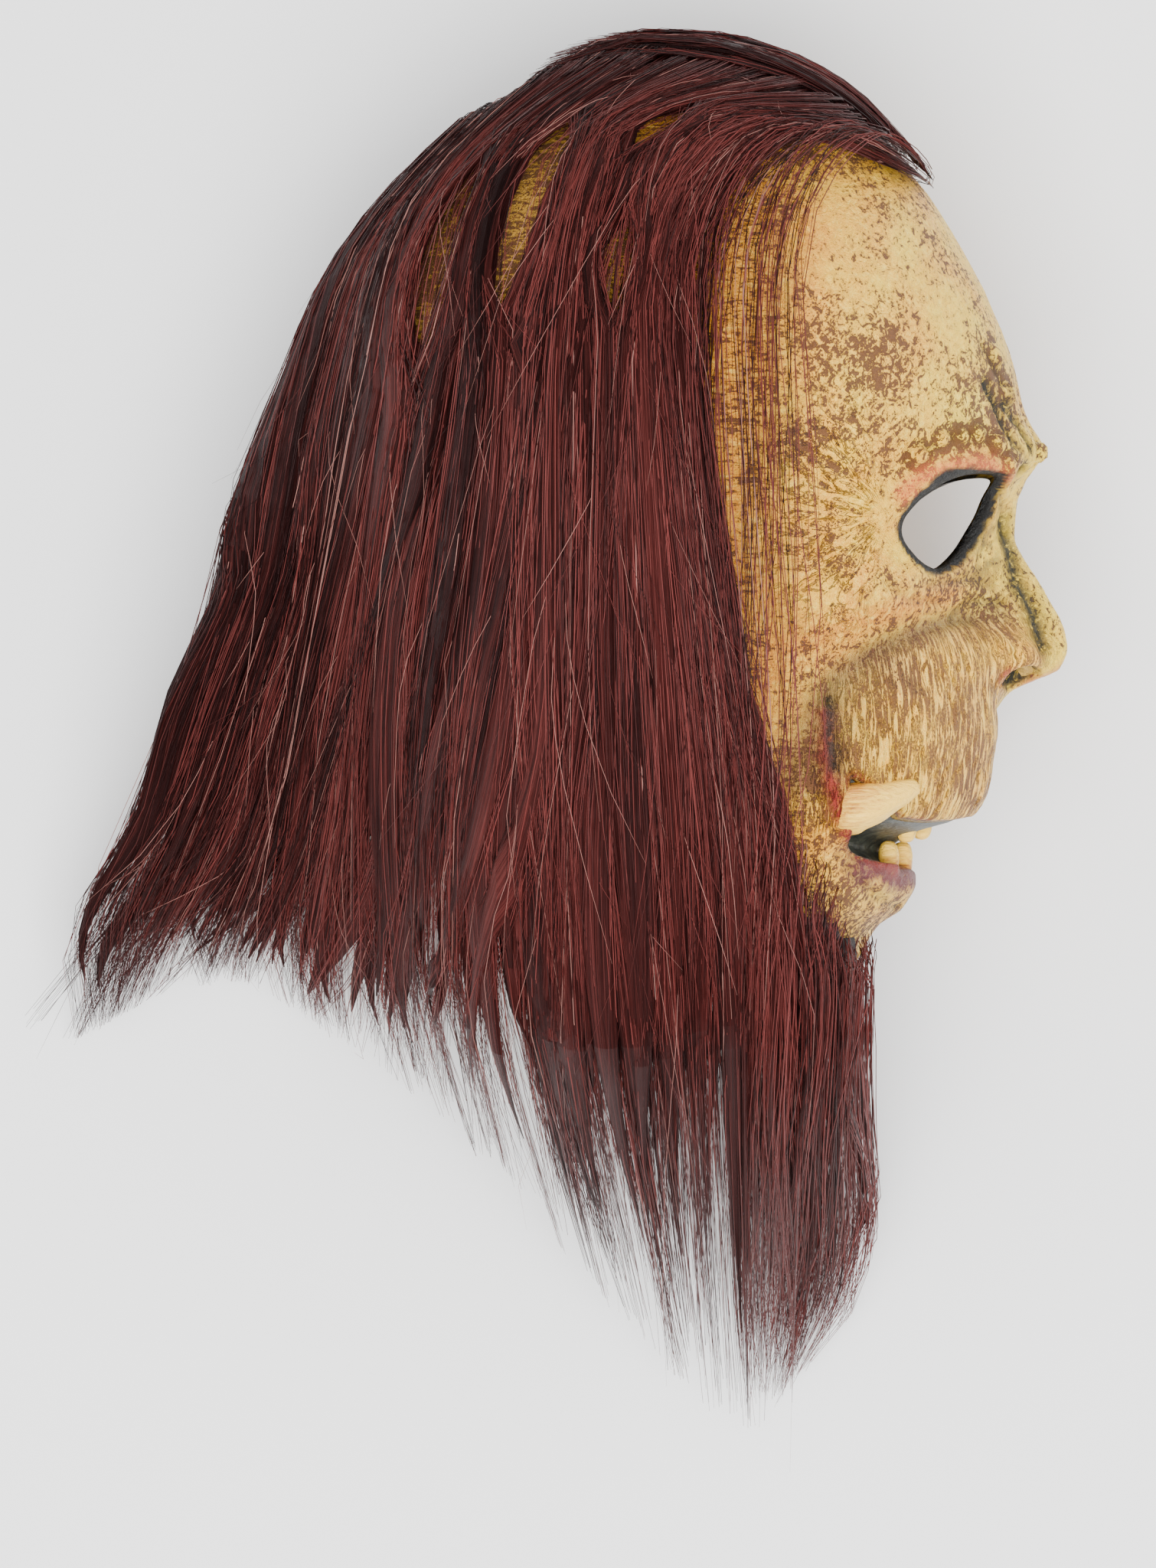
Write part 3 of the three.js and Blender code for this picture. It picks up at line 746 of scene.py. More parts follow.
    def _cut(self, outline: Array, where: NDArray[np.bool_]) -> None:
        """Marks the points inside an outline and moves those beside it onto it.

        Of two neighbours on either side of the outline the nearer one moves. Its height is the
        outline's, and its angle is solved for the outline's z by four Newton steps.

        Args:
            outline: the closed outline in z and y.
            where: the part of the grid that it may touch.
        """
        p = HEAD.point(self.angle, self.y)
        near = where & self._boxed(p, outline, self.CUT_MARGIN)
        off = np.full(p.shape[:2], 99.0)
        goal = np.zeros(p.shape[:2] + (2,))
        off[near], goal[near] = self._signed(p[near][:, [2, 1]], outline)
        inside = off < 0
        moved = np.zeros_like(inside)
        for axis in (0, 1):
            for step in (1, -1):
                other = np.roll(off, step, axis=axis)
                valid = near & np.roll(near, step, axis=axis)
                moved |= valid & (off * other < 0) & (np.abs(off) <= np.abs(other))
        moved[0] = False
        y = goal[..., 1][moved]
        rim_row = np.zeros_like(moved)
        rim_row[-1] = True
        y = np.where(rim_row[moved], RIM_Y, np.maximum(y, RIM_Y))
        target = goal[..., 0][moved]
        angle = self.angle[moved]
        tiny, least_slope, most_turn = 1e-3, 8, 0.05
        for _ in range(4):
            z = HEAD.point(angle, y)[..., 2]
            slope = (HEAD.point(angle + tiny, y)[..., 2] - z) / tiny
            slope = np.where(np.abs(slope) < least_slope, np.copysign(least_slope, slope), slope)
            angle = angle + np.clip((target - z) / slope, -most_turn, most_turn)
        self.angle[moved], self.y[moved] = angle, y
        self.inside |= inside & ~moved
        self.on_edge |= moved

    def _normals(self) -> Array:
        """Outward normals of the smooth skin: across both small steps in angle and in height.

        Returns:
            One unit vector a point.
        """
        aside, up = 0.004, 0.3
        turn = HEAD.point(self.angle + aside, self.y) - HEAD.point(self.angle - aside, self.y)
        low, high = np.maximum(self.y - up, RIM_Y), np.minimum(self.y + up, CROWN_Y)
        rise = HEAD.point(self.angle, high) - HEAD.point(self.angle, low)
        normal = unit(np.cross(turn, rise))
        centre = np.stack([HEAD.middle(self.y), self.y - 8, np.zeros_like(self.y)], axis=-1)
        outward = self.base - centre
        normal *= np.sign((normal * outward).sum(-1, keepdims=True))
        normal[0] = (0, 1, 0)
        return normal

    def _outline_distance(self, outline: Array) -> Array:
        """How far each point is from an outline in z and y laid on the skin, on either side."""
        ahead = (np.cos(self.angle) > 0.05) & (self.base[..., 2] >= 0)
        return line_distance(self.folded, self._nearest(ahead, 2, outline[outline[:, 0] >= 0]))

    def _on_skin(self, places: Pairs) -> Array:
        """Places of the side view laid on the right side of the skin."""
        ahead = (np.cos(self.angle) > 0) & (self.base[..., 2] > 0)
        return self._nearest(ahead, 0, np.array(places, dtype=float))

    def _nearest(self, ahead: NDArray[np.bool_], axis: int, places: Array) -> Array:
        """The points of the skin nearest to places seen from the front or from the side.

        Args:
            ahead: the part of the grid to choose from.
            axis: the axis of the places' first number; their second is y.
            places: the places, one row each.

        Returns:
            One point a place.
        """
        pool = self.base[ahead]
        gap = (pool[:, axis] - places[:, :1]) ** 2 + (pool[:, 1] - places[:, 1:]) ** 2
        return pool[gap.argmin(axis=1)]

    def _relief(self) -> tuple[Array, Array, dict[str, Array]]:
        """Wrinkles, knobs and rims as pushes along the normal, and the paint that goes with them.

        Returns:
            The push of each point, the depth of the nostrils, and named amounts of paint.
        """
        folded, ahead, rim, lip = self.folded, self.ahead, self.rim, self.lip
        _, y, side = folded.T
        coarse = value_noise(folded / 6.0, 3)
        fine = value_noise(folded / 2.2, 5)
        push = 0.25 * coarse + 0.12 * fine
        dark, ring = np.zeros(len(folded)), np.zeros(len(folded))
        for groove in self.GROOVES:
            off = line_distance(folded, self._on_skin(groove.line)) + 0.5 * fine
            push -= groove.depth * bell(off, 0, groove.width)
            dark = np.maximum(dark, groove.dark * bell(off, 0, groove.width * 1.35))
        for knob in self.KNOBS:
            centre = self._on_skin([(knob.x, knob.y)])[0]
            off = np.linalg.norm(folded - centre, axis=1) + 0.5 * coarse
            push += 1.6 * knob.height * (1 - smoothstep(0.35 * knob.radius, knob.radius, off))
            push -= 0.35 * knob.height * bell(off, knob.radius * 1.15, 0.8)
            ring = np.maximum(ring, bell(off, knob.radius * 1.1, 0.9))
        push += self._fan() * ahead
        push += self._muzzle() * ahead
        outer = smoothstep(40, 52, side)
        eye_roll = (1.3 - 0.8 * outer) * bell(rim, 3.0 + 2 * outer, 2.0) - 0.7 * bell(rim, 0, 1.0)
        lip_roll = 1.5 * bell(lip, 3.2, 2.4) - 0.9 * bell(lip, 0, 1.2)
        push += (eye_roll + lip_roll) * ahead
        cheek_lip = line_distance(folded, self._on_skin(self.CHEEK_LIP))
        push += 2.0 * bell(cheek_lip, 0, 2.4) * ahead
        reach = HEAD.muzzle_reach(y, side)
        crease = smoothstep(14, 26, side) * smoothstep(-104, -90, y)
        push -= 1.5 * bell(reach, 1.0, 0.035) * crease * ahead
        upper = (y > HEAD.upper_lip(side)) & (side < 50)
        push -= 0.9 * bell(lip, 3.2, 2.4) * upper * ahead
        dent = self._nostril()
        paint = self._paint(dark, dent)
        paint["wash"] += 0.5 * ring
        return push, dent, paint

    def _from_eye(self) -> tuple[Array, Array]:
        """Each point's turn and distance from the outer corner of the eye, in the side view."""
        out, up = HEAD.EYE_CORNER[0] - self.folded[:, 0], self.folded[:, 1] - HEAD.EYE_CORNER[1]
        return np.arctan2(up, out), np.hypot(out, up)

    def _fan(self) -> Array:
        """Crow's feet: ridges that fan out from the outer corner of the eye.

        The groove's depth is a power of the cosine of 22 times the angle round the corner, bent by
        noise, between 6 and 40 mm from it.

        Returns:
            The push of each point.
        """
        turn, reach = self._from_eye()
        bent = turn + 0.12 * value_noise(self.folded / 9.0, 11) + 0.004 * reach
        ridge = np.clip(np.cos(22 * bent), 0, 1) ** 4
        span = smoothstep(3, 9, reach) * (1 - smoothstep(22, 42, reach))
        return -0.9 * ridge * span * (1 - smoothstep(0.95, 1.35, np.abs(turn)))

    def _muzzle(self) -> Array:
        """Upright wrinkles over the muzzle.

        Distance round the muzzle is its radius times the angle about an upright axis inside it.
        The groove's depth is a power of the cosine of that distance over 5.2 mm, bent by noise.

        Returns:
            The push of each point.
        """
        folded = self.folded
        x, y, side = folded.T
        around = HEAD.MUZZLE_RADIUS * np.arctan2(side, x - HEAD.MUZZLE_AXIS_X)
        bend = 2.4 * value_noise(folded * (0.07, 0.045, 0.07), 17) + 0.05 * (y + 80)
        ridge = np.clip(np.cos(2 * math.pi * (around / 5.2 + bend)), 0, 1) ** 3
        broken = smoothstep(-0.5, 0.3, value_noise(folded * (0.25, 0.08, 0.25), 19))
        over = smoothstep(0.02, 0.2, 1 - HEAD.muzzle_reach(y, side)) * smoothstep(-101, -95, y)
        return -0.85 * ridge * broken * over * smoothstep(8, 20, side)

    def _nostril(self) -> Array:
        """The pit of the nostril: a slanted ellipse of the side view, up to 5 mm deep.

        Returns:
            The depth at each point.
        """
        folded = self.folded
        x, y = folded[:, 0] - 108.6, folded[:, 1] + 54.6
        along, across = x * 0.92 + y * 0.39, y * 0.92 - x * 0.39
        off = np.hypot(along / 6.4, across / 3.2)
        near = smoothstep(3.5, 6, folded[:, 2]) * (1 - smoothstep(16, 20, folded[:, 2]))
        return 5 * (1 - smoothstep(0.55, 1.1, off)) * near

    def _paint(self, dark: Array, dent: Array) -> dict[str, Array]:
        """Where each colour of paint lies, from bells and bands of place.

        Args:
            dark: grey-green already laid in the grooves.
            dent: depth of the nostrils.

        Returns:
            Named amounts from 0 to 1.
        """
        folded, ahead, rim, lip = self.folded, self.ahead, self.rim, self.lip
        x, y, side = folded.T
        coarse = value_noise(folded / 8.0, 23)
        fine = value_noise(folded / 2.6, 29)
        wash = np.full(len(x), self.EVEN_WASH)
        for cx, cy, rx, ry, amount in self.WASH:
            wash += amount * bell(x, cx, rx) * bell(y, cy, ry)
        reach = HEAD.muzzle_reach(y, side)
        turn, far = self._from_eye()
        fan = smoothstep(4, 10, far) * (1 - smoothstep(30, 50, far))
        fan *= 1 - smoothstep(1.0, 1.5, np.abs(turn))
        in_front = smoothstep(3, 15, side)
        muzzle = smoothstep(-0.04, 0.08, 1 - reach) * smoothstep(-104, -97, y) * in_front
        wash += 0.06 * muzzle
        rim_width = 1.3 + 1.9 * smoothstep(38, 52, side)
        soot = bell(x, 97, 6) * bell(y, -15, 10) * smoothstep(0, 2, rim)
        black = 1 - smoothstep(rim_width, rim_width + 1.4, rim + 0.7 * fine)
        black = np.maximum(black, 0.8 * soot * smoothstep(-0.6, 0.4, fine + coarse))
        above = line_distance(folded, self._on_skin(self.UPPER_LID))
        nose = line_distance(folded, self._on_skin(self.UNDER_NOSE))
        pink = 0.8 * bell(nose, 0, 3.2) * (1 - smoothstep(0.4, 2.0, dent))
        lower = y < HEAD.lower_lip(side) - 0.5
        cheek_lip = line_distance(folded, self._on_skin(self.CHEEK_LIP))
        red = bell(cheek_lip + 0.7 * fine, 0, 2.6)
        red = np.maximum(red, 0.6 * (1 - smoothstep(0.8, 2.4, lip + 0.5 * fine)))
        mauve = (1 - smoothstep(5, 12, lip + 2.5 * coarse)) * lower * (1 - smoothstep(42, 56, side))
        inside = 1 - smoothstep(-0.4, 0.2, lip - 0.4)
        crease = smoothstep(12, 24, side) * smoothstep(-100, -84, y)
        # Grey-brown painted shade in the fold round the muzzle, under the cheek's overhang, and in
        # a patch at the fold's top beside the nose.
        fold_shade = bell(reach, 0.99, 0.06) * crease
        fold_shade = np.maximum(fold_shade, 0.7 * bell(x, 100, 7) * bell(y, -34, 6))
        # Orange and gold in the recess under the cheek: partly the mask's paint, partly painted
        # shade.
        cheek_recess_shade = bell(reach, 1.16, 0.12) * smoothstep(20, 36, side) * smoothstep(-70, -40, y)
        hairline = 1 - smoothstep(12, 48, x + 5 * coarse - 0.1 * np.abs(y))
        hairline = np.maximum(hairline, 0.7 * smoothstep(88, 112, y + 4 * coarse))
        scalp = (1 - smoothstep(-22, 6, x + 5 * coarse)) * smoothstep(5, 45, y)
        wash += 0.35 * scalp
        gold = np.clip(1.0 - (x - 20) / 105 + 0.3 * coarse, 0, 1)
        gold = np.maximum(np.maximum(gold, 0.75 * muzzle), cheek_recess_shade)
        # Orange along the brow: partly the mask's paint, partly painted shade.
        brow = bell(x, 104, 8) * bell(y, 33, 20)
        face = {
            "fan": fan,
            "muzzle": muzzle,
            # Grey-green paint in the grooves and at the mouth's edge; in the nostril's pit the dark
            # is painted shade.
            "dark": np.clip(dark + 0.8 * inside + smoothstep(0.2, 1.4, dent), 0, 1),
            "black": black,
            "peach": 0.95 * bell(above, 0, 3.4),
            "pink": pink,
            "red": red,
            "mauve": mauve,
            "fold_shade": fold_shade,
        }
        orange = np.clip(hairline + 0.8 * cheek_recess_shade + 0.7 * brow, 0, 1)
        bristle = np.clip(hairline, 0, 1)
        rest = {"wash": wash, "orange": orange, "bristle": bristle, "scalp": scalp, "gold": gold}
        return {key: value * ahead for key, value in face.items()} | rest

    def mesh(self) -> Mesh:
        """The shell as one closed body.

        Where one corner of a cell is cut off, the other three make a triangle. Each open edge of
        the outer skin is joined to the same edge of the inner one.

        Returns:
            The mesh, with its paint.
        """
        push, dent, paint = self._relief()
        rows, columns = self.angle.shape
        flat_normal = self.normal.reshape(-1, 3)
        outer = self.base.reshape(-1, 3) + flat_normal * (push - dent)[:, None]
        inner = HEAD.point(self.angle, self.y, WALL)
        inner[0] = (HEAD.middle(CROWN_Y), CROWN_Y - WALL, 0)
        inner = inner.reshape(-1, 3) - flat_normal * dent[:, None]
        number = np.arange(rows * columns)
        number[:columns] = 0
        plain = grid_quads(rows, columns, wrap=True)
        cells, lost, edge = number[plain], self.inside.ravel()[plain], self.on_edge.ravel()[plain]
        whole = (lost.sum(1) == 0) & ~(edge.all(axis=1) & self._in_hole(plain))
        quads = cells[whole]
        triangles = []
        for corner in range(4):
            others = [(corner + k) % 4 for k in (1, 2, 3)]
            one = lost[:, corner] & (lost.sum(1) == 1) & ~edge[:, others].all(axis=1)
            triangles.append(cells[one][:, others])
        crown = (quads[:, 0] == quads[:, 3]) & (quads[:, 0] == 0)
        triangles.append(quads[crown][:, :3])
        quads = quads[~crown]
        triangles = np.concatenate(triangles)
        walls = self._walls(quads, triangles, rows * columns)
        mesh = Mesh(
            np.concatenate([outer, inner]),
            np.concatenate([quads, quads[:, ::-1] + rows * columns, walls]),
            np.concatenate([triangles, triangles[:, ::-1] + rows * columns]),
            {key: np.concatenate([value, 0 * value]) for key, value in paint.items()},
        )
        # The inner skin near the eye rims is black too: the rims' paint carried over the cut edge,
        # and partly painted shade inside the eye holes.
        mesh.values["black"] = np.tile(paint["black"], 2)
        mesh.values["lining"] = np.repeat([0.0, 1.0], rows * columns)
        return self._compact(mesh)

    def _in_hole(self, cells: NDArray[np.int64]) -> NDArray[np.bool_]:
        """Whether a cell's middle lies inside a cut outline.

        Args:
            cells: quads of grid points.

        Returns:
            One answer a cell.
        """
        p = self.base.reshape(-1, 3)[cells].mean(axis=1)
        answer = np.zeros(len(cells), bool)
        for outline in (HEAD.eye_outline(1), HEAD.eye_outline(-1), HEAD.mouth_outline()):
            box = self._boxed(p, outline, (0, 0)) & (p[:, 0] > 20)
            answer[box] |= self._signed(p[box][:, [2, 1]], outline)[0] < 0
        return answer

    @staticmethod
    def _walls(
        quads: NDArray[np.int64], triangles: NDArray[np.int64], shift: int
    ) -> NDArray[np.int64]:
        """Quads from each open edge of the outer skin to the inner one.

        An edge is open if no face runs along it the other way.

        Args:
            quads: the outer skin's quads.
            triangles: its triangles.
            shift: how many points the inner skin's numbers are ahead.

        Returns:
            The quads.
        """
        sides = [quads[:, [k, (k + 1) % 4]] for k in range(4)]
        sides += [triangles[:, [k, (k + 1) % 3]] for k in range(3)]
        edges = np.concatenate(sides)
        size = shift + 1
        key, back = edges[:, 0] * size + edges[:, 1], edges[:, 1] * size + edges[:, 0]
        open_edges = edges[~np.isin(key, back)]
        a, b = open_edges.T
        return np.stack([b, a, a + shift, b + shift], axis=1)

    @staticmethod
    def _compact(mesh: Mesh) -> Mesh:
        """Drops the points that no face uses.

        Args:
            mesh: the mesh.

        Returns:
            The same faces over fewer points.
        """
        used = np.unique(np.concatenate([mesh.quads.ravel(), mesh.triangles.ravel()]))
        new = np.zeros(len(mesh.points), int)
        new[used] = np.arange(len(used))
        values = {key: value[used] for key, value in mesh.values.items()}
        return Mesh(mesh.points[used], new[mesh.quads], new[mesh.triangles], values)


class Teeth:
    """The mouth's lining, tusks and small teeth."""

    TUSK_PATH = np.array([(47.5, -97.5, 50), (55, -94.8, 58.5), (65, -92, 57.5), (75.5, -87.8, 53)])
    TUSK_SIZE = (
        (0, 0.4), (0.06, 5), (0.25, 8), (0.5, 7), (0.75, 4.8), (0.92, 3.2), (0.98, 2.3), (1, 0.3),
    )  # fmt: skip
    TUSK_FLATNESS = 0.9
    PEG_HALF_HEIGHT = 5.4
    PEG_HALF_DEPTH = 3.2
    PEG_POWER = 0.75
    LIPS_MEET_Y = -105.0
    # Small teeth: x, y, z of the middle, half width
    PEGS = (
        (77.6, -99.4, 5.5, 3.4),
        (72.6, -100.3, 16.5, 4.2),
        (71.5, -111, 9.5, 3.8),
        (67, -110.5, 20.5, 4.0),
    )

    @classmethod
    def tusk(cls, side: int) -> Mesh:
        """A tusk: rings about a smooth path, whose size swells and tapers to the tip.

        Its surface has shallow flutes, 5 round the tusk, and lumps of noise.

        Args:
            side: 1 for the mask's right, -1 for its left.

        Returns:
            The closed mesh; its value base is 1 at the root and 0 at the tip, give or take a
            quarter across the tusk: painted shade along one edge.
        """
        share = np.linspace(0, 1, 60)
        path = even_curve(cls.TUSK_PATH * (1, 1, side), share)
        along = unit(np.gradient(path, axis=0))
        out = np.array([0.0, 0.0, side])
        across = unit(np.cross(along, out))
        thick = np.cross(across, along)
        turn = np.linspace(0, 2 * math.pi, 48, endpoint=False)
        size = SmoothCurve(cls.TUSK_SIZE)(share)[:, None]
        flute = 1 + 0.035 * np.cos(5 * turn + 1.2) * smoothstep(0, 0.3, 1 - share)[:, None]
        c, s = np.cos(turn) * size * flute, np.sin(turn) * cls.TUSK_FLATNESS * size * flute
        ring = path[:, None] + across[:, None] * c[..., None] + thick[:, None] * s[..., None]
        lump = value_noise(ring / 3.0, 41)[..., None]
        ring += 0.18 * lump * unit(ring - path[:, None])
        mesh = capped_tubes(ring[None])
        # A quarter more towards one edge darkens that edge to ochre: painted shade along the tusk.
        below = np.repeat(1 - share, len(turn)) + 0.25 * np.tile(-np.cos(turn), len(share))
        mesh.values["base"] = np.clip(below, 0, 1.2)
        return mesh

    @classmethod
    def peg(cls, place: tuple[float, float, float, float], side: int) -> Mesh:
        """A small blunt tooth: a ball squared off by a power of 0.75, wider at its free end.

        Args:
            place: x, y, z of its middle and its half width.
            side: 1 for the mask's right, -1 for its left.

        Returns:
            The closed mesh with its value base.
        """
        x, y, z, wide = place
        tilt = np.linspace(0.02, math.pi - 0.02, 18)[:, None]
        turn = np.linspace(0, 2 * math.pi, 24, endpoint=False)[None]
        down = signed_power(np.cos(tilt), cls.PEG_POWER) + 0 * turn
        lean = signed_power(np.sin(tilt) + 0 * turn, cls.PEG_POWER)
        ahead = cls.PEG_HALF_DEPTH * lean * signed_power(np.cos(turn), cls.PEG_POWER)
        aside = wide * lean * signed_power(np.sin(turn), cls.PEG_POWER)
        ring = np.stack([x + ahead, y + cls.PEG_HALF_HEIGHT * down, side * z + aside], axis=-1)
        ring += 0.14 * value_noise(ring / 2.0, 43)[..., None]
        mesh = capped_tubes(ring[None])
        height = (ring[..., 1] - y) / cls.PEG_HALF_HEIGHT
        up = 1 if y > cls.LIPS_MEET_Y else -1
        mesh.values["base"] = np.clip(0.5 + 0.6 * up * height, 0, 1).ravel()
        return mesh

    @classmethod
    def all_teeth(cls) -> Mesh:
        """Both tusks and the eight small teeth as one mesh."""
        pegs = [cls.peg(place, side) for side in (1, -1) for place in cls.PEGS]
        return reduce(Mesh.joined, pegs, cls.tusk(1).joined(cls.tusk(-1)))

    @staticmethod
    def lining() -> Mesh:
        """The pocket behind the lips: the face's skin set in, 3.4 mm at its edge.

        Inside the mouth's outline the inset grows over 6 mm, to 10 mm in front and 17 at the sides,
        and folds of noise run across it.

        Returns:
            A thin closed sheet.
        """
        z, y = np.meshgrid(np.linspace(-66, 66, 100), np.linspace(-79, -121, 40))
        off, _ = LatexShell._signed(np.stack([z.ravel(), y.ravel()], axis=1), HEAD.mouth_outline())
        off = off.reshape(z.shape)
        power = 2 / HEAD.squareness(y)
        share = np.clip(np.abs(z) / (HEAD.breadth(y) * 0.985), 0, 0.999) ** (1 / power)
        angle = np.sign(z) * np.arcsin(share)
        most = 6.6 + 7 * smoothstep(15, 45, np.abs(z))
        inset = 3.4 + most * smoothstep(-0.5, 6, -off)
        front = HEAD.point(angle, y, inset)
        front[..., 0] += 0.6 * value_noise(front / 5.0, 47)
        return closed_sheet(front, HEAD.point(angle, y, inset + 1.6))


# Hair


class Flow(Enum):
    """Which way the hair lies over the head."""

    TAUT = 1
    FALLEN = 2
    ROUND_CHIN = 3
    OVER_CROWN = 4


SIDE_FLOW = np.array(
    [
        [(-62, 121), (-32, 136.5), (4, 142), (46, 129.5), (81, 99)],
        [(-101, 74), (-75, 92), (-43, 107), (-8, 114), (32, 113)],
        [(-118, 28), (-88, 40), (-53, 56), (-22, 68), (2, 80)],
        [(-133, -18), (-98, -12), (-59, -4), (-24, 2), (5, 10)],
        [(-151, -60), (-111, -62), (-67, -64), (-25, -62), (15, -56)],
        [(-163, -100), (-122, -106), (-72, -114), (-26, -118), (24, -112)],
        [(-187, -136), (-138, -136), (-74, -160), (-22, -186), (27, -184)],
        [(-199, -172), (-138, -152), (-62, -206), (-4, -274), (30, -300)],
    ],
    dtype=float,
)
BEARD_FLOW = np.array(
    [
        [(72, -124), (50, -110), (24, -86)],
        [(58, -140), (42, -127), (20, -108)],
        [(54, -157), (38, -149), (19, -140)],
        [(54, -190), (38, -188), (20, -182)],
        [(57, -224), (41, -228), (22, -226)],
        [(54, -252), (39, -258), (24, -258)],
        [(37, -280), (33, -286), (27, -294)],
    ],
    dtype=float,
)
HAIR_DEPTH = 8.5
LIFT = 2.6
EDGE = 0.06


@dataclass(frozen=True)
class Parting:
    """A narrow place between locks where the scalp shows, along a line of the side view."""

    line: Pairs
    half_width: float
    crossing: float


PARTINGS = (
    Parting([(5, 123), (-7, 116), (-24, 103)], 8.5, 0.02),
    Parting([(-28, 121), (-42, 104), (-51, 84), (-60, 52)], 11.5, 0.02),
    Parting([(-50, 116), (-66, 92), (-75, 66), (-82, 28)], 8.5, 0.06),
    Parting([(-20, 92), (-17, 58), (-14, 2)], 7.0, 0.12),
    Parting([(-42, 60), (-40, 48), (-40, 32)], 5.5, 0.06),
)


@dataclass
class HairSheet:
    """The surface that combed hair lies on, from its roots to its tips.

    Rows hold the same share of every lock, columns are locks side by side. Shares of the length are
    crowded towards the root by a power. The sizes after it are shares of the length, millimetres
    of fall for one of length, and beds in shares of the hair's depth.
    """

    flow: Flow
    columns: int = 121
    rows: int = 41

    CROWDING = 1.5
    HELD = 0.45
    SLOPE = 1.7
    TIP_BED = 1.15
    LEFT_BED = 0.45

    def __post_init__(self) -> None:
        """Works out the sheet's points, outward normals and breadth."""
        self.low = 0.0 if self.flow in (Flow.TAUT, Flow.FALLEN) else -1.0
        # Hair over the crown is darker, as painted shade; the beard's is lighter and the rest a
        # little lighter.
        self.tone_and_shade = {Flow.OVER_CROWN: -0.9, Flow.ROUND_CHIN: 0.8}.get(self.flow, 0.2)
        self.across = np.linspace(self.low, 1, self.columns)
        self.along = np.linspace(0, 1, self.rows) ** self.CROWDING
        shape = {
            Flow.TAUT: self._taut,
            Flow.FALLEN: self._fallen,
            Flow.ROUND_CHIN: self._round_chin,
            Flow.OVER_CROWN: self._over_crown,
        }[self.flow]
        self.points = shape()
        down = np.gradient(self.points, axis=1)
        over = np.gradient(self.points, axis=0)
        outward = 1 if self.flow in (Flow.TAUT, Flow.OVER_CROWN) else -1
        self.normals = unit(np.cross(down, over)) * outward
        over *= (self.columns - 1) / (1 - self.low)
        sizes = [np.linalg.norm(over, axis=-1), np.linalg.norm(over[..., :2], axis=-1)]
        self.width = np.stack(sizes, axis=-1)

    def _seen(self, table: Array) -> tuple[Array, Array]:
        """Places of the side view, read off a table of landmarks by smooth curves both ways.

        Args:
            table: the landmarks, rows from root to tip.

        Returns:
            x and y, locks by shares.
        """
        rows = even_curve(np.swapaxes(table, 0, 1), np.abs(self.across))
        seen = even_curve(np.swapaxes(rows, 0, 1), self.along)
        return seen[..., 0].T, seen[..., 1].T

    @staticmethod
    def _skin(x: Array, y: Array, low: float = -1e9) -> Array:
        """Half the head's thickness under hair, whose slice at the height low carries on below."""
        return HEAD.half_height(x, np.maximum(y, low), LIFT + 3 * smoothstep(95, 130, -y))

    @staticmethod
    def _run(x: Array, y: Array) -> Array:
        """The length passed along each lock in the side view, locks by shares."""
        step = np.hypot(np.diff(x, axis=1), np.diff(y, axis=1))
        return np.concatenate([np.zeros((len(x), 1)), np.cumsum(step, axis=1)], axis=1)

    def _taut(self) -> Array:
        """Hair pulled tight over the head from the parting to where its tip rests.

        At each place it is the highest of all straight lines between two held places on either
        side of it. Held places are the root, the tip, those over the head and, behind the skull,
        the first part of the length.

        Returns:
            The points, locks by shares.
        """
        x, y = self._seen(SIDE_FLOW)
        skin, run = self._skin(x, y), self._run(x, y)
        held = (skin > 0) | (self.along < self.HELD)
        height = np.where(held, skin + GAP, -1e4)
        height[:, 0] = GAP
        height[:, -1] = FLOOR + self.TIP_BED * HAIR_DEPTH
        i, j, k = np.meshgrid(*[np.arange(self.rows)] * 3, indexing="ij")
        keep = (i <= k) & (k <= j) & (i < j)
        i, j, k = i[keep], j[keep], k[keep]
        share = (run[:, k] - run[:, i]) / (run[:, j] - run[:, i])
        line = height[:, i] * (1 - share) + height[:, j] * share
        z = np.stack([line[:, k == place].max(axis=1) for place in range(self.rows)], axis=1)
        return np.stack([x, y, z], axis=-1)

    def _fallen(self) -> Array:
        """Hair under the head, which falls away from it to its bed on the floor.

        The height is the running least of what the skin and the fall allow, held at the bed.

        Returns:
            The points, locks by shares.
        """
        x, y = self._seen(SIDE_FLOW)
        step = np.diff(self._run(x, y), axis=1, prepend=0)
        drop = np.cumsum(self.SLOPE * smoothstep(0.2, 0.6, self.along) * step, axis=1)
        under = -self._skin(x, y) - GAP
        under[:, 0] = -GAP
        fall = np.minimum.accumulate(under + drop, axis=1) - drop
        return np.stack([x, y, np.maximum(fall, FLOOR + self.LEFT_BED * HAIR_DEPTH)], axis=-1)

    def _round_chin(self) -> Array:
        """The beard: from the skin of the jaw down to its bed, clear of the head.

        The head's slice at the rim carries on below it, and its part in the height fades out.

        Returns:
            The points, locks from the left jaw to the right by shares.
        """
        x, y = self._seen(BEARD_FLOW)
        skin = self._skin(x, y, RIM_Y - 25)
        side = np.clip(self.across / 0.12, -1, 1)[:, None]
        bed = FLOOR + HAIR_DEPTH * (0.8 + 0.5 * smoothstep(-0.2, 0.6, self.across))[:, None]
        fall = smoothstep(0, 0.85, self.along)[None]
        hanging = side * skin[:, :1] * (1 - fall) + bed * fall
        clear = side * (skin + GAP)
        clear += (bed - clear) * smoothstep(150, 275, -y)
        kept = np.where(side > 0, np.maximum(hanging, clear), np.minimum(hanging, clear))
        return np.stack([x, y, np.maximum(kept, bed)], axis=-1)

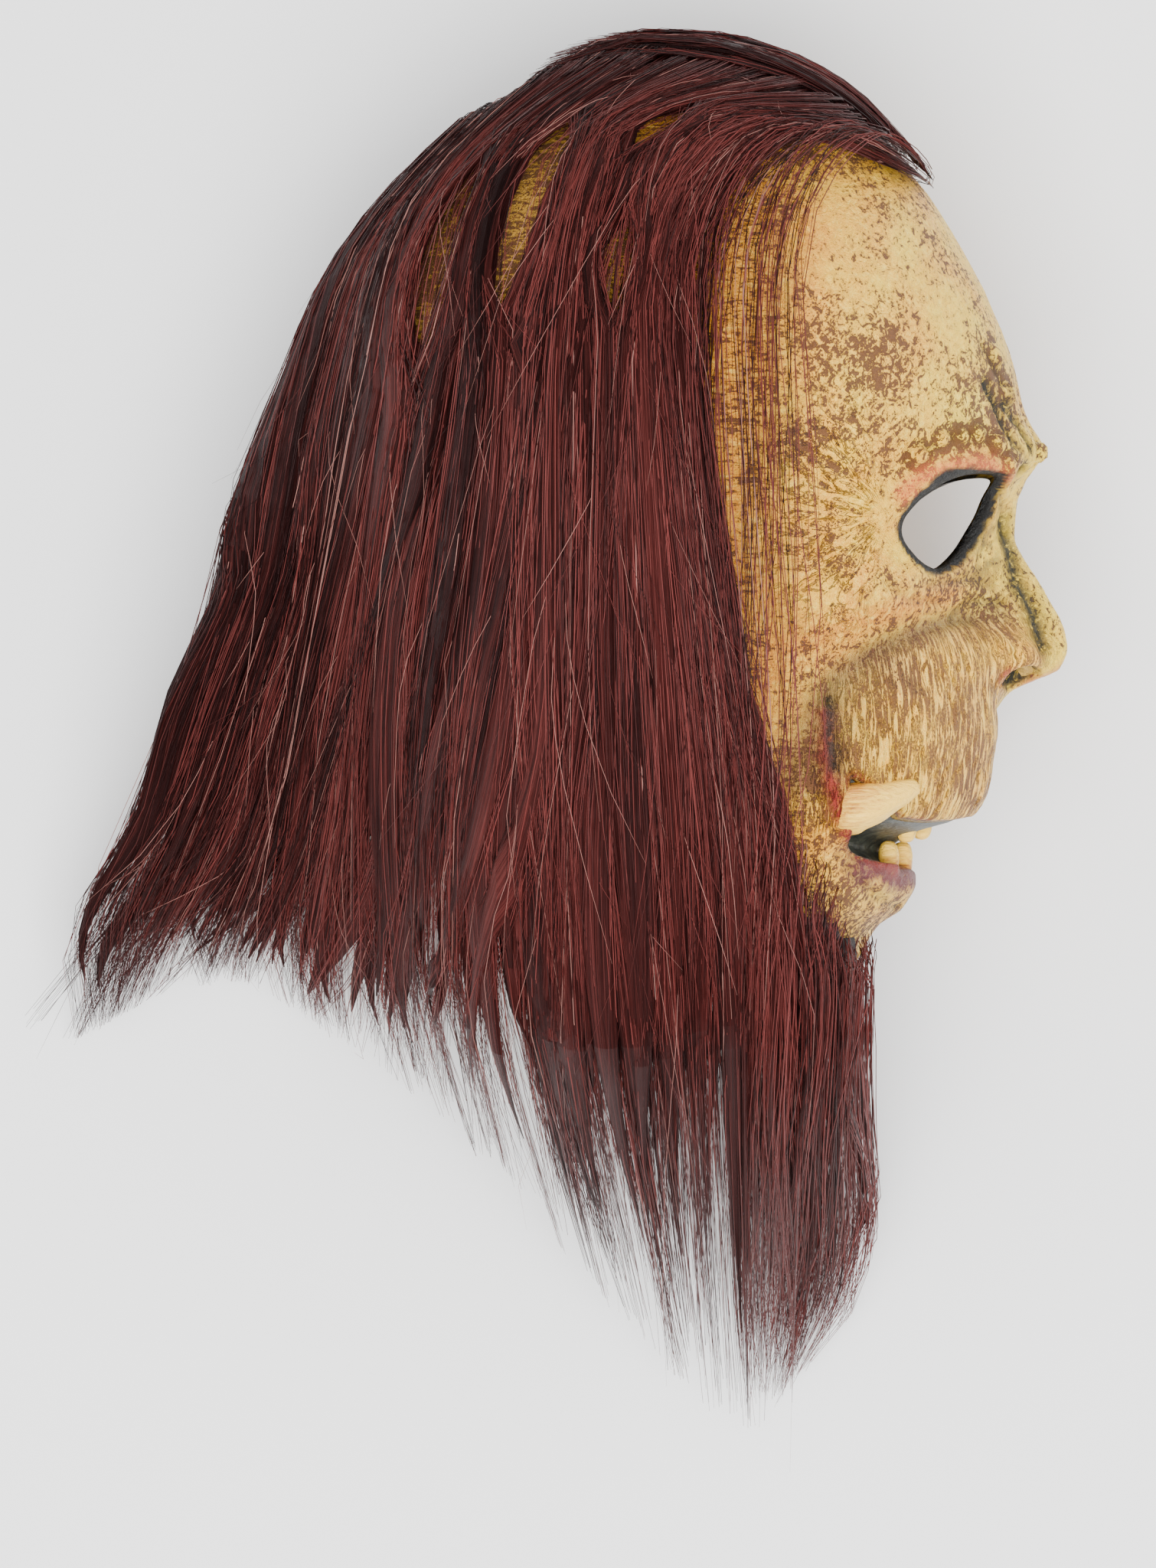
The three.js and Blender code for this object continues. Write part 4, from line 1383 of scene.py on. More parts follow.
    def _over_crown(self) -> Array:
        """Hair combed back over the crown from the front hairline.

        x runs straight from the hairline to the back, z is the place across times a half width that
        swells midway, and y is where the dome passes them, found by halving.

        Returns:
            The points, locks from left to right by shares.
        """
        across, along = self.across[:, None], self.along[None]
        front, back, halvings = 81 - 20 * np.abs(across) ** 1.4, -58.0, 24
        x = front + (back - front) * along
        z = across * (22 + 12 * np.sin(math.pi * along))
        low, high = np.full(x.shape, 60.0), np.full(x.shape, CROWN_Y + LIFT)
        for _ in range(halvings):
            y = (low + high) / 2
            within = HEAD.half_height(x, y, LIFT) > np.abs(z) + 0.02
            low, high = np.where(within, y, low), np.where(within, high, y)
        return np.stack([x, low + GAP, z], axis=-1)

    def _blend(self, grid: Array, across: Array, share: Array) -> Array:
        """Blends the four grid values round each place, carried on straight past either edge.

        Args:
            grid: values, locks by shares.
            across: places across the locks.
            share: shares of the length.

        Returns:
            The value at each place.
        """
        c = np.clip((across - self.low) / (1 - self.low), -EDGE, 1 + EDGE) * (self.columns - 1)
        r = np.clip(share, 0, 1) * (self.rows - 1)
        i = np.clip(c.astype(int), 0, self.columns - 2)
        j = np.minimum(r.astype(int), self.rows - 2)
        u, v = (c - i)[..., None], (r - j)[..., None]
        near = grid[i, j] * (1 - u) + grid[i + 1, j] * u
        far = grid[i, j + 1] * (1 - u) + grid[i + 1, j + 1] * u
        return near * (1 - v) + far * v

    def sample(self, across: Array, share: Array) -> tuple[Array, Array]:
        """Points and normals of the sheet at places across the locks and shares of the length."""
        points = self._blend(self.points, across, share)
        return points, unit(self._blend(self.normals, across, share))

    def breadth(self, across: Array, share: Array, seen: bool = False) -> Array:
        """Millimetres to the side for one unit across the locks, on the sheet or as seen on it."""
        return np.maximum(self._blend(self.width, across, share)[..., int(seen)], 20)

    def locate(self, places: Pairs, level: float) -> tuple[Array, Array]:
        """Where the places of a side view are in the first half of hair at a height.

        Args:
            places: (x, y) places.
            level: the height, as a share of the hair's depth.

        Returns:
            Their places across the locks and their shares of the length, in order of share.
        """
        above = 0.5 + level * self.depth(np.linspace(0, 1, self.rows))
        half = (self.points + self.normals * above[None, :, None])[:, : self.rows // 2, :2]
        seen = np.array(places, dtype=float)[:, None, None]
        nearest = ((half[None] - seen) ** 2).sum(-1).reshape(len(places), -1).argmin(axis=1)
        i, j = np.unravel_index(nearest, half.shape[:2])
        order = np.argsort(j)
        across = self.low + (1 - self.low) * i / (self.columns - 1)
        return across[order], j[order] / (self.rows - 1)

    def parted(
        self, across: Array, share: Array, chance: Array, room: Array | float, level: float
    ) -> Array:
        """Lines of hair moved sideways out of the partings, each line to one side of them.

        A line's side is that of its mean offset from the parting's middle. Offsets up to 1.8 half
        widths crowd between 0.85 and 1.8. The half width is greatest midway along the parting.

        Args:
            across: places across the locks, lines by places.
            share: shares of the length.
            chance: a random value a line; below the parting's share of crossing hairs it stays.
            room: millimetres that the line needs on either side of it.
            level: the lines' height, as a share of the hair's depth.

        Returns:
            The places across the locks.
        """
        if self.flow is not Flow.TAUT:
            return across
        for parting in PARTINGS:
            middle_at, share_at = self.locate(parting.line, level)
            middle = np.interp(share, share_at, middle_at)
            along = np.clip((share - share_at[0]) / (share_at[-1] - share_at[0]), 0, 1)
            half = (parting.half_width + room) * np.sin(math.pi * along) ** 0.6
            half = np.maximum(half / self.breadth(middle, share, seen=True), 1e-5)
            beside = (along > 0) & (along < 1)
            mean = ((across - middle) * beside).sum(axis=1, keepdims=True)
            side = np.where(mean < 0, -1, 1)
            off = np.maximum((across - middle) / half * side, 0)
            shift = middle + half * side * (0.85 + 0.53 * off) - across
            ease = smoothstep(0, 0.2, along) * (1 - smoothstep(0.8, 1, along))
            moves = beside & (off < 1.8) & (chance >= parting.crossing)
            across = across + np.where(moves, shift * ease, 0)
        return across

    @staticmethod
    def depth(share: Array) -> Array:
        """Thickness of the hair: it fills out from the root and thins to the tip.

        Args:
            share: shares of the length.

        Returns:
            The thickness at each.
        """
        root = np.clip(share / 0.05, 0, 1)
        fullness = 0.5 + 0.5 * smoothstep(0.2, 0.6, share)
        tip = np.sqrt(1 - smoothstep(0.75, 1.0, share))
        return HAIR_DEPTH * root * fullness * tip

    def mass(self, start: float, end: float, locks: int) -> Mesh:
        """The inner body of the hair that the strands lie over, near black as painted shade deep in
        the hair.

        A closed sheet whose ends are ragged from lock to lock and whose face is ridged.

        Args:
            start: share of the length where it begins.
            end: share of the length where it ends.
            locks: how many locks it is parted into.

        Returns:
            The mesh.
        """
        columns = 3 * locks + 1
        across = np.linspace(self.low, 1, columns)[None]
        v = np.linspace(0, 1, 24)[:, None]
        spot = np.stack([across[0] * 17, 0 * across[0], 0 * across[0]], -1)
        ragged = 0.05 * value_noise(spot, 61)
        share = start + ragged * (1 - v) + (end - start + 0.8 * ragged) * v
        lock = np.abs(np.sin(math.pi * locks * (across - self.low) / (1 - self.low)))
        point, normal = self.sample(np.broadcast_to(across, share.shape), share)
        ends = np.sqrt(np.clip(np.minimum(v, 1 - v) * 8, 0, 1))
        thick = self.depth(share) * (0.15 + 0.2 * lock) * ends
        outer = point + normal * (0.35 + thick)[..., None]
        inner = point + normal * 0.05
        outer[..., 2] = np.maximum(outer[..., 2], FLOOR + 0.3)
        return closed_sheet(outer, inner)


@dataclass
class Locks:
    """Locks of hair over a sheet, and the single hairs that make them up.

    A lock keeps a middle line, which drifts and swings to the side on its way, a height in the
    hair's depth, and a width that fills out from the root and draws in towards the tip.

    Attributes:
        sheet: what they lie on.
        count: how many locks.
        hairs: single hairs in each.
        seed: picks the lots.
        level: least and greatest height, in shares of the hair's depth.
        width: mean half width.
        swing: how far they drift and sway aside.
        rooted: share of them that begin below the parting.
        roots: first and last place across the sheet.
        stray: how far hairs bow forwards.
        lift: how far hairs stand off.
        lean: how far hairs lie across the locks.
        short: length of hairs that lie anywhere, in shares of the whole.
        scatter: width of the band of hairs over the lock's own.
        starts: first and last share of the length where locks begin.
        core: width of the lock's body over its own, 0 for none.
        thickness: mean radius of a hair.
        light: share of pale hairs, which are partly painted highlights.
        segments: straight pieces in a hair.
    """

    sheet: HairSheet
    count: int
    hairs: int
    seed: int
    level: tuple[float, float] = (0.3, 0.9)
    width: float = 5.0
    swing: float = 1.0
    rooted: float = 0.35
    roots: tuple[float, float] | None = None
    stray: float = 0.0
    lift: float = 0.0
    lean: float = 0.0
    short: float = 0.0
    scatter: float = 1.1
    starts: tuple[float, float] | None = None
    core: float = 0.85
    thickness: float = 0.15
    light: float = 0.02
    segments: int = 8

    LOCK_ENDS = (0.86, 1.0)
    LOW_ENDS = (0.92, 1.0)
    BEARD_STARTS = (0.26, 0.34)
    DRIFT = 0.035
    SWAY = 0.02
    HOOK = 0.09
    BACK_TONE = 1.9
    BROKEN = 0.1
    # Tone of the pale hairs, partly painted highlights.
    PALE_TONE = 1.25
    HOVER = 0.5
    CLEAR = 0.1

    def __post_init__(self) -> None:
        """Draws the lots for every lock."""
        rng = np.random.default_rng(self.seed)
        n = self.count
        low, high = self.roots or (self.sheet.low, 1.0)
        place = np.arange(n) + 0.5 + rng.uniform(-0.45, 0.45, n)
        self.root = low + (high - low) * place / n
        self.start = np.where(rng.random(n) < self.rooted, 0.45 * rng.random(n) ** 1.2, 0.0)
        chin = self.sheet.flow is Flow.ROUND_CHIN
        behind = 0.0 if self.sheet.low else 1 - smoothstep(0.08, 0.4, self.root)
        self.end = rng.uniform(*self.LOCK_ENDS, n)
        self.end += (1 - self.end) * behind
        if chin:
            self.start = rng.uniform(*self.BEARD_STARTS, n)
        if self.starts:
            self.start = rng.uniform(*self.starts, n)
            self.end = rng.uniform(*self.LOW_ENDS, n)
        self.drift = self.DRIFT * self.swing * rng.normal(size=n)
        self.sway = self.SWAY * self.swing * rng.normal(size=n)
        self.beat = rng.uniform(0.5, 1.6, n)
        self.phase = rng.uniform(0, 1, n)
        self.high = rng.uniform(*self.level, n)
        self.tone = rng.normal(size=n) - self.BACK_TONE * behind + self.sheet.tone_and_shade
        self.half = self.width * rng.uniform(0.6, 1.35, n)
        at_back = (np.abs(self.root) < 0.06) & (not chin)
        self.hook = self.HOOK * (rng.random(n) < 0.6) * at_back
        self.rng = rng

    def _middle(self, i: Array, share: Array) -> Array:
        """The middle line of lock i: root + drift * way + sway * sin(beat * share + phase) * way.

        Way is how far past its root the lock is. Locks at the back hook inwards at their ends.

        Args:
            i: numbers of the locks.
            share: shares of the length.

        Returns:
            The places across the locks.
        """
        way = np.clip(share - self.start[i], 0, 1)
        swing = np.sin(2 * math.pi * (self.beat[i] * share + self.phase[i]))
        line = self.root[i] + self.drift[i] * way + self.sway[i] * swing * smoothstep(0, 0.4, way)
        return line + self.hook[i] * smoothstep(0.84, 1.0, share)

    def _half(self, i: Array, share: Array, breadth: Array) -> Array:
        """Half the width of lock i in millimetres, which keeps up with a sheet that spreads.

        Args:
            i: numbers of the locks.
            share: shares of the length.
            breadth: the sheet's breadth there.

        Returns:
            The half widths.
        """
        t = (share - self.start[i]) / (self.end[i] - self.start[i])
        fill = 0.35 + 0.65 * smoothstep(0, 0.25, t)
        spread = np.clip(breadth / 150, 0.75, 1.6) if self.sheet.low == 0 else 1.0
        return self.half[i] * fill * spread * (1 - 0.6 * smoothstep(0.6, 1.0, t))

    def _over(self, across: Array, share: Array) -> Array:
        """Thickness of the hair under a lock, thinner at the front hairline.

        Args:
            across: places across the locks.
            share: shares of the length.

        Returns:
            The thickness at each place.
        """
        hairline = smoothstep(0.8, 1.0, np.abs(across)) * (1 - smoothstep(0.2, 0.45, share))
        if self.sheet.flow is Flow.OVER_CROWN:
            hairline = 1 - smoothstep(0, 0.35, share)
        return self.sheet.depth(share) * (1 - 0.75 * hairline)

    def bodies(self) -> Mesh:
        """The inside of each lock: a flattened closed tube, eight points round.

        Returns:
            The mesh, with each lock's tone, its share of the length and its turn.
        """
        rows, sides = 22, 8
        i = np.arange(self.count)[:, None]
        t = np.linspace(0, 1, rows)[None]
        share = self.start[i] + (self.end[i] - self.start[i]) * (0.01 + 0.88 * t)
        middle = self._middle(i, share)
        breadth = self.sheet.breadth(middle, share)
        ends = np.clip(np.minimum(t * 4, (1 - t) * 3), 0.02, 1) ** 0.7
        half = self._half(i, share, breadth) * ends
        middle = self.sheet.parted(middle, share, 1.0, 0.8 * half, sum(self.level) / 2)
        turn = np.linspace(-math.pi / 2, 1.5 * math.pi, sides, endpoint=False)
        side = middle[..., None] + (self.core * half / breadth)[..., None] * np.cos(turn)
        over = 0.3 + self._over(middle, share) * self.high[i]
        height = np.maximum(over[..., None] + 0.3 * half[..., None] * np.sin(turn), 0.15)
        point, normal = self.sheet.sample(side, np.broadcast_to(share[..., None], side.shape))
        ring = point + normal * height[..., None]
        ring[..., 2] = np.maximum(ring[..., 2], FLOOR + self.CLEAR)
        mesh = self._toned(ring, np.clip(0.5 + 0.25 * self.tone, 0, 1), share)
        mesh.values["round"] = np.tile(np.arange(sides) / sides, self.count * rows)
        return mesh

    def _spans(self, i: Array) -> tuple[Array, Array]:
        """Where each hair begins and ends: within its lock's span, and some are broken off.

        Args:
            i: the number of each hair's lock.

        Returns:
            The shares of the length of both ends.
        """
        rng, one = self.rng, i.shape
        size = self.end[i] - self.start[i]
        first = self.start[i] + size * 0.22 * rng.random(one) ** 2
        last = self.end[i] - size * 0.3 * rng.random(one) ** 2.4
        broken = rng.random(one) < self.BROKEN
        last = np.where(broken, first + (last - first) * rng.uniform(0.45, 0.9, one), last)
        if self.sheet.flow is Flow.ROUND_CHIN:
            up = smoothstep(0.2, 0.7, np.abs(self.root[i]))
            first = first - (0.05 + 0.2 * up) * rng.random(one) ** 1.4
        if self.short:
            first = rng.uniform(0.03, 0.85, one)
            last = first + self.short * rng.uniform(0.4, 1.6, one)
        return first, last

    def _wave(self, share: Array) -> Array:
        """Each hair's own wave: two sines of its share of the length, the finer one weaker.

        Args:
            share: shares of the length, hairs by places.

        Returns:
            The waves, about 1 high.
        """
        wave, one = np.zeros(share.shape), (len(share), 1)
        for octave in (1.0, 2.2):
            phase, beat = self.rng.uniform(0, 2 * math.pi, (2, *one))
            strength = self.rng.normal(size=one) / octave**1.3
            wave += strength * np.sin(phase + (octave + 0.08 * beat) * share * 2 * math.pi)
        return wave

    def strands(self) -> Mesh:
        """The hairs as thin three-sided tubes with closed ends.

        A hair keeps its place in its lock's section, which turns a little along the lock, and
        waves by up to a few millimetres of its own.

        Returns:
            The mesh, with tone, different for each hair, and along, from root to tip.
        """
        rng = self.rng
        n, one = self.count * self.hairs, (self.count * self.hairs, 1)
        i = np.repeat(np.arange(self.count), self.hairs)[:, None]
        first, last = self._spans(i)
        places = np.linspace(0, 1, self.segments + 1)
        step = np.interp(places, (0, 0.62, 1), (0, 0.45, 1))[None]
        share = np.minimum(first + (last - first) * step, 1.0 + 0.002 * step)
        radius, angle = np.zeros(one), np.zeros(one)
        if self.hairs > 1:
            radius = np.sqrt(rng.uniform(0.1, 1.15, one))
            angle = rng.uniform(-0.3, math.pi + 0.3, one)
        turn = angle + rng.normal(size=(self.count, 1))[i[:, 0]] * 0.7 * share
        middle = self._middle(i, share)
        breadth = self.sheet.breadth(middle, share)
        half = self._half(i, share, breadth)
        side = half * radius * np.cos(turn) * self.scatter
        wave = self._wave(share)
        side += wave * (0.12 + 2.1 * share**1.4) * (2.5 if self.stray else 1.0)
        side += self.lean * rng.normal(size=one) * step**1.3
        across = middle + side / breadth
        chance = rng.random(one)
        if self.hairs > 1:
            across = self.sheet.parted(across, share, chance, 0.0, sum(self.level) / 2)
        height = self._over(middle, share) * self.high[i]
        height += 0.4 * half * radius * np.sin(turn) + 0.25 * wave * share
        height = self.HOVER + height * smoothstep(0, 0.07, share - first + 0.01)
        height += self.lift * rng.random(one) ** 1.5 * smoothstep(0.08, 0.6, share)
        point, normal = self.sheet.sample(across, share)
        point = point + normal * np.maximum(height, self.HOVER)[..., None]
        if self.stray:
            far = self.stray * rng.random(one) ** 1.8
            far = far * np.sin(np.clip(share / 0.92, 0, 1) * math.pi) ** 1.2
            point[..., 0] += far
            point[..., 2] -= 0.008 * far**2
        tone = np.clip(0.5 + 0.2 * self.tone[i[:, 0]] + 0.26 * rng.normal(size=n), 0, 1)
        # Pale hairs, partly painted highlights.
        tone = np.where(rng.random(n) < self.light, self.PALE_TONE, tone)
        taper = 1 - 0.6 * smoothstep(0.7, 1.0, step)
        ring = self._ringed(point, self.thickness * rng.uniform(0.7, 1.3, one) * taper)
        ring[..., 2] = np.maximum(ring[..., 2], FLOOR + self.CLEAR)
        return self._toned(ring, tone, share)

    @staticmethod
    def _toned(ring: Array, tone: Array, share: Array) -> Mesh:
        """Tubes through rings, with their tone and how far along the hair they are.

        Args:
            ring: the rings, tubes by places by points.
            tone: one value a tube.
            share: the length's shares, tubes by places.

        Returns:
            The mesh.
        """
        _, places, points = ring.shape[:3]
        along = np.repeat(share.ravel(), points)
        values = {"tone": np.repeat(tone, places * points), "along": along}
        return replace(capped_tubes(ring), values=values)

    def _ringed(self, point: Array, radius: Array) -> Array:
        """Three points round each place of a line.

        Args:
            point: the lines, hairs by places.
            radius: the radius at each place.

        Returns:
            The rings, hairs by places by three.
        """
        along = unit(np.gradient(point, axis=1))
        helper = unit(self.rng.normal(size=(len(point), 1, 3)))
        across = unit(np.cross(along, helper))
        over = np.cross(along, across)
        turn = np.arange(3)[:, None] * 2 * math.pi / 3
        radius = radius[..., None, None]
        ring = np.cos(turn) * across[:, :, None] + np.sin(turn) * over[:, :, None]
        return point[:, :, None] + radius * ring


# Finishes


def paint(code: str) -> Colour:
    """A colour written as six hex digits, made linear.

    Each channel c becomes ((c + 0.055) / 1.055) to the power 2.4, or c / 12.92 if it is small.

    Args:
        code: the digits.

    Returns:
        Red, green, blue and an alpha of 1.
    """
    channel = [int(code[k : k + 2], 16) / 255 for k in (0, 2, 4)]
    linear = [c / 12.92 if c <= 0.04045 else ((c + 0.055) / 1.055) ** 2.4 for c in channel]
    return (linear[0], linear[1], linear[2], 1.0)


class Value:
    """An output of the shader graph that adds and multiplies like a number."""

    def __init__(self, graph: "Graph", socket: bpy.types.NodeSocket) -> None:
        """Wraps an output socket of a graph."""
        self.graph = graph
        self.socket = socket

    def __add__(self, other: "Number") -> "Value":
        """This value and another one added."""
        return self.graph.math("ADD", self, other)

    def __sub__(self, other: "Number") -> "Value":
        """This value less another one."""
        return self.graph.math("SUBTRACT", self, other)

    def __rsub__(self, other: "Number") -> "Value":
        """A number less this value."""
        return self.graph.math("SUBTRACT", other, self)

    def __mul__(self, other: "Number") -> "Value":
        """This value times another one."""
        return self.graph.math("MULTIPLY", self, other)

    def __abs__(self) -> "Value":
        """This value without its sign."""
        return self.graph.math("ABSOLUTE", self)

    __radd__ = __add__
    __rmul__ = __mul__


Number = Value | float


class Graph:
    """A material's node graph, written as formulas."""

    def __init__(self, name: str) -> None:
        """Starts a material with one principled shader.

        Args:
            name: the material's name.
        """
        self.material = bpy.data.materials.new(name)
        self.material.use_nodes = True
        self.nodes = self.material.node_tree.nodes
        self.links = self.material.node_tree.links
        self.shader = self.nodes["Principled BSDF"]

    def feed(self, socket: bpy.types.NodeSocket, value: "Value | float | Sequence[float]") -> None:
        """Links a value to an input, or sets it if it is a plain number or colour.

        Args:
            socket: the input.
            value: what it gets.
        """
        if isinstance(value, Value):
            self.links.new(value.socket, socket)
        else:
            socket.default_value = value

    def add(self, kind: str, inputs: dict, output: str | int = 0, **settings: object) -> Value:
        """Adds a node.

        Args:
            kind: the node's type.
            inputs: values by the input's name or number.
            output: which output to return.
            **settings: the node's own properties.

        Returns:
            The output.
        """
        node = self.nodes.new(kind)
        for key, setting in settings.items():
            setattr(node, key, setting)
        for key, value in inputs.items():
            self.feed(node.inputs[key], value)
        return Value(self, node.outputs[output])

    def math(self, operation: str, *values: Number) -> Value:
        """A maths node of an operation, with its inputs in order."""
        return self.add("ShaderNodeMath", dict(enumerate(values)), operation=operation)

    def step(self, value: Number, low: Number, high: Number) -> Value:
        """Rises smoothly from 0 where the value is low to 1 where it is high."""
        inputs = {"Value": value, "From Min": low, "From Max": high}
        return self.add("ShaderNodeMapRange", inputs, interpolation_type="SMOOTHSTEP")

    def mix(self, share: Number, first: "Value | Colour", second: "Value | Colour") -> Value:
        """Blends two colours: a share of 0 gives the first and 1 the second."""
        inputs = {0: share, 6: first, 7: second}
        return self.add("ShaderNodeMix", inputs, output=2, data_type="RGBA")

    def attribute(self, name: str) -> Value:
        """A value stored on the mesh under a name."""
        return self.add("ShaderNodeAttribute", {}, output="Fac", attribute_name=name)

    def place(self) -> tuple[Value, Value, Value]:
        """The point in the head's frame, in millimetres, as x, y and z.

        Returns:
            The three coordinates.
        """
        spot = self.add("ShaderNodeTexCoord", {}, output="Object")
        parts = self.nodes.new("ShaderNodeSeparateXYZ")
        self.feed(parts.inputs[0], spot)
        return tuple(
            Value(self, parts.outputs[k]) * (1 / MM) - float(HEAD_AT[k]) for k in range(3)
        )

    def noise(
        self,
        x: Number,
        y: Number,
        z: Number,
        detail: float = 4,
        rough: float = 0.55,
        warp: float = 0.0,
    ) -> Value:
        """Fractal noise of unit grain, about 0.5.

        Args:
            x: first coordinate.
            y: second coordinate.
            z: third coordinate.
            detail: number of finer layers.
            rough: strength of each finer layer.
            warp: how far the pattern is swirled.

        Returns:
            The noise.
        """
        spot = self.add("ShaderNodeCombineXYZ", {0: x, 1: y, 2: z})
        inputs = dict(Vector=spot, Scale=1.0, Detail=detail, Roughness=rough, Distortion=warp)
        return self.add("ShaderNodeTexNoise", inputs)

    def bump(self, height: Number, distance: float) -> Value:
        """A normal tilted by a height, where a height of 1 is a distance in metres."""
        return self.add("ShaderNodeBump", {"Height": height, "Distance": distance})

    def finish(self, **inputs: "Value | float | Colour") -> bpy.types.Material:
        """Feeds the shader.

        Args:
            **inputs: values by the input's name, with _ for a space.

        Returns:
            The material.
        """
        for key, value in inputs.items():
            self.feed(self.shader.inputs[key.replace("_", " ")], value)
        return self.material


@dataclass(frozen=True)
class LatexColours:
    """The paints on the latex."""

    # Paler paint, laid partly as a painted highlight where the grain is low.
    pale: Colour = paint("ffe978")
    cream: Colour = paint("ffd634")
    gold: Colour = paint("f2a422")
    orange: Colour = paint("cf7a14")
    scalp: Colour = paint("b58a36")
    brown: Colour = paint("5a331a")
    rust: Colour = paint("6e3418")
    tan: Colour = paint("c79a46")
    grey_green: Colour = paint("24271f")
    black: Colour = paint("141311")
    peach: Colour = paint("e06a35")
    pink: Colour = paint("c4553f")
    red: Colour = paint("8f2a1c")
    mauve: Colour = paint("6e2c2c")
    # Painted shade: grey-brown in the fold round the muzzle.
    fold_shade: Colour = paint("5e4a38")
    lining: Colour = paint("c9a04a")


class Finishes:
    """The materials of the mask."""

    FLECK_LEVEL = 0.602
    WASH_REACH = 0.2

    @classmethod
    def latex(cls) -> bpy.types.Material:
        """Painted latex: cream and gold under flecks and strokes of a brown dry-brushed wash.

        The flecks are noise cut at a level that falls as the wash grows. The noise is even on the
        forehead, drawn out upright round the muzzle, fans out beside the eye and lies across at
        the hairline. Thin wrinkles are where such a noise is near its middle. Other colours are
        laid over by their amounts on the mesh: among them paler paint where the grain is low,
        partly a painted highlight, and grey-brown painted shade in the fold round the muzzle.

        Returns:
            The material.
        """
        g, c = Graph("latex_skin"), LatexColours()
        x, y, z = g.place()
        side, get = abs(z), g.attribute
        muzzle, fan, bristle = get("muzzle"), get("fan"), get("bristle")
        patch = g.noise(x * 0.05, y * 0.05, z * 0.05, 2)
        fleck = g.noise(x * 0.42, y * 0.34, z * 0.42, 6, 0.68, 0.9)
        speck = g.noise(x * 1.5, y * 1.3, z * 1.5, 3, 0.6)
        stroke = g.noise((x + y) * 0.1, (x - y) * 0.62, z * 0.3, 3, 0.6, 0.5)
        around = g.math("ARCTAN2", side, x - HEAD.MUZZLE_AXIS_X) * HEAD.MUZZLE_RADIUS
        upright = g.noise(around * 0.72, y * 0.11, 3.0, 5, 0.62, 0.9)
        out, up = HEAD.EYE_CORNER[0] - x, y - HEAD.EYE_CORNER[1]
        turn, reach = g.math("ARCTAN2", up, out), g.math("SQRT", out * out + up * up)
        rays = g.noise(turn * 6.0, reach * 0.1, 5.0, 4, 0.62, 1.2)
        across = g.noise(x * 0.16, y * 0.6, z * 0.16, 4, 0.62, 1.2)
        grain = fleck * 0.62 + speck * 0.2 + stroke * 0.18
        for drawn, part, share in (
            (upright, 0.75, muzzle),
            (rays, 0.7, fan * 0.5),
            (across, 0.75, bristle * 0.7),
        ):
            grain = grain + (drawn * part + speck * (1 - part) - grain) * share
        crinkle = 1.0 - g.step(abs(upright - 0.5), 0.0, 0.03)
        crow = 1.0 - g.step(abs(rays - 0.5), 0.0, 0.03)
        crease = g.math("MAXIMUM", crinkle * muzzle * 0.9, crow * fan * 0.8)
        amount = get("wash") + (patch - 0.5) * 0.95
        level = cls.FLECK_LEVEL - amount * cls.WASH_REACH
        brown = g.step(grain, level - 0.014, level + 0.016)
        soft = g.step(grain, level - 0.11, level + 0.05)
        gold = g.math("MINIMUM", get("gold") + (patch - 0.5) * 1.2 + (fleck - 0.5) * 0.8, 1.0)
        gold = g.math("MAXIMUM", gold, 0.0)
        # Paler where the grain is low, away from the scalp: partly pale paint, partly a painted
        # highlight.
        pale_paint_and_highlight = (1.0 - g.step(grain, 0.34, 0.5)) * (1.0 - get("scalp"))
        worn = 1.1 + (fleck - 0.5) * 1.7
        base = g.mix(gold, c.cream, c.gold)
        for share, colour in (
            # Orange: paint at the hairline, and partly painted shade under the cheek and along the
            # brow.
            (get("orange") * (0.55 + (fleck - 0.5) * 2.0), c.orange),
            (get("scalp") * 0.85, c.scalp),
            (muzzle * (0.1 + (patch - 0.5) * 1.6), c.tan),
            (pale_paint_and_highlight * 0.45, c.pale),
            # Grey-brown painted shade in the fold round the muzzle.
            (get("fold_shade") * 0.75, c.fold_shade),
            (soft * 0.3, c.rust),
            (brown * (0.92 - muzzle * 0.1), c.brown),
            (crease * 0.75, c.brown),
            (get("peach") * (0.8 + (speck - 0.5) * 1.5), c.peach),
            (get("pink") * 0.85, c.pink),
            (get("mauve") * worn, c.mauve),
            (get("red") * worn, c.red),
            # Grey-green: paint in the grooves and at the mouth's edge, painted shade in the
            # nostril's pit.
            (get("dark") * g.step(fleck, 0.28, 0.48), c.grey_green),
            (get("black"), c.black),
            (get("lining") * (1.0 - get("black")), c.lining),
        ):
            base = g.mix(share, base, colour)
        pores = g.noise(x * 2.2, y * 2.2, z * 2.2, 1)
        height = grain * 1.2 - brown * 0.3 - crease * 0.9 + pores * 0.25
        return g.finish(
            Base_Color=base,
            Roughness=0.4 + brown * 0.22,
            Specular_IOR_Level=0.4,
            Normal=g.bump(height, 0.0025),
        )

    @staticmethod
    def teeth() -> bpy.types.Material:
        """Painted teeth: cream at the tip, ochre and brown streaks towards the gum.

        Returns:
            The material.
        """
        g = Graph("painted_teeth")
        x, y, z = g.place()
        base = g.attribute("base")
        streak = g.noise(x * 0.16, y * 0.9, z * 0.9, 5, 0.6, 0.3)
        cream, ochre, brown = paint("f7c648"), paint("c27a20"), paint("5e3a1c")
        colour = g.mix(g.step(base + (streak - 0.5) * 1.3, 0.25, 0.95), cream, ochre)
        colour = g.mix(g.step(base + (streak - 0.5) * 1.8, 0.85, 1.15), colour, brown)
        return g.finish(Base_Color=colour, Roughness=0.34, Normal=g.bump(streak, 0.0012))

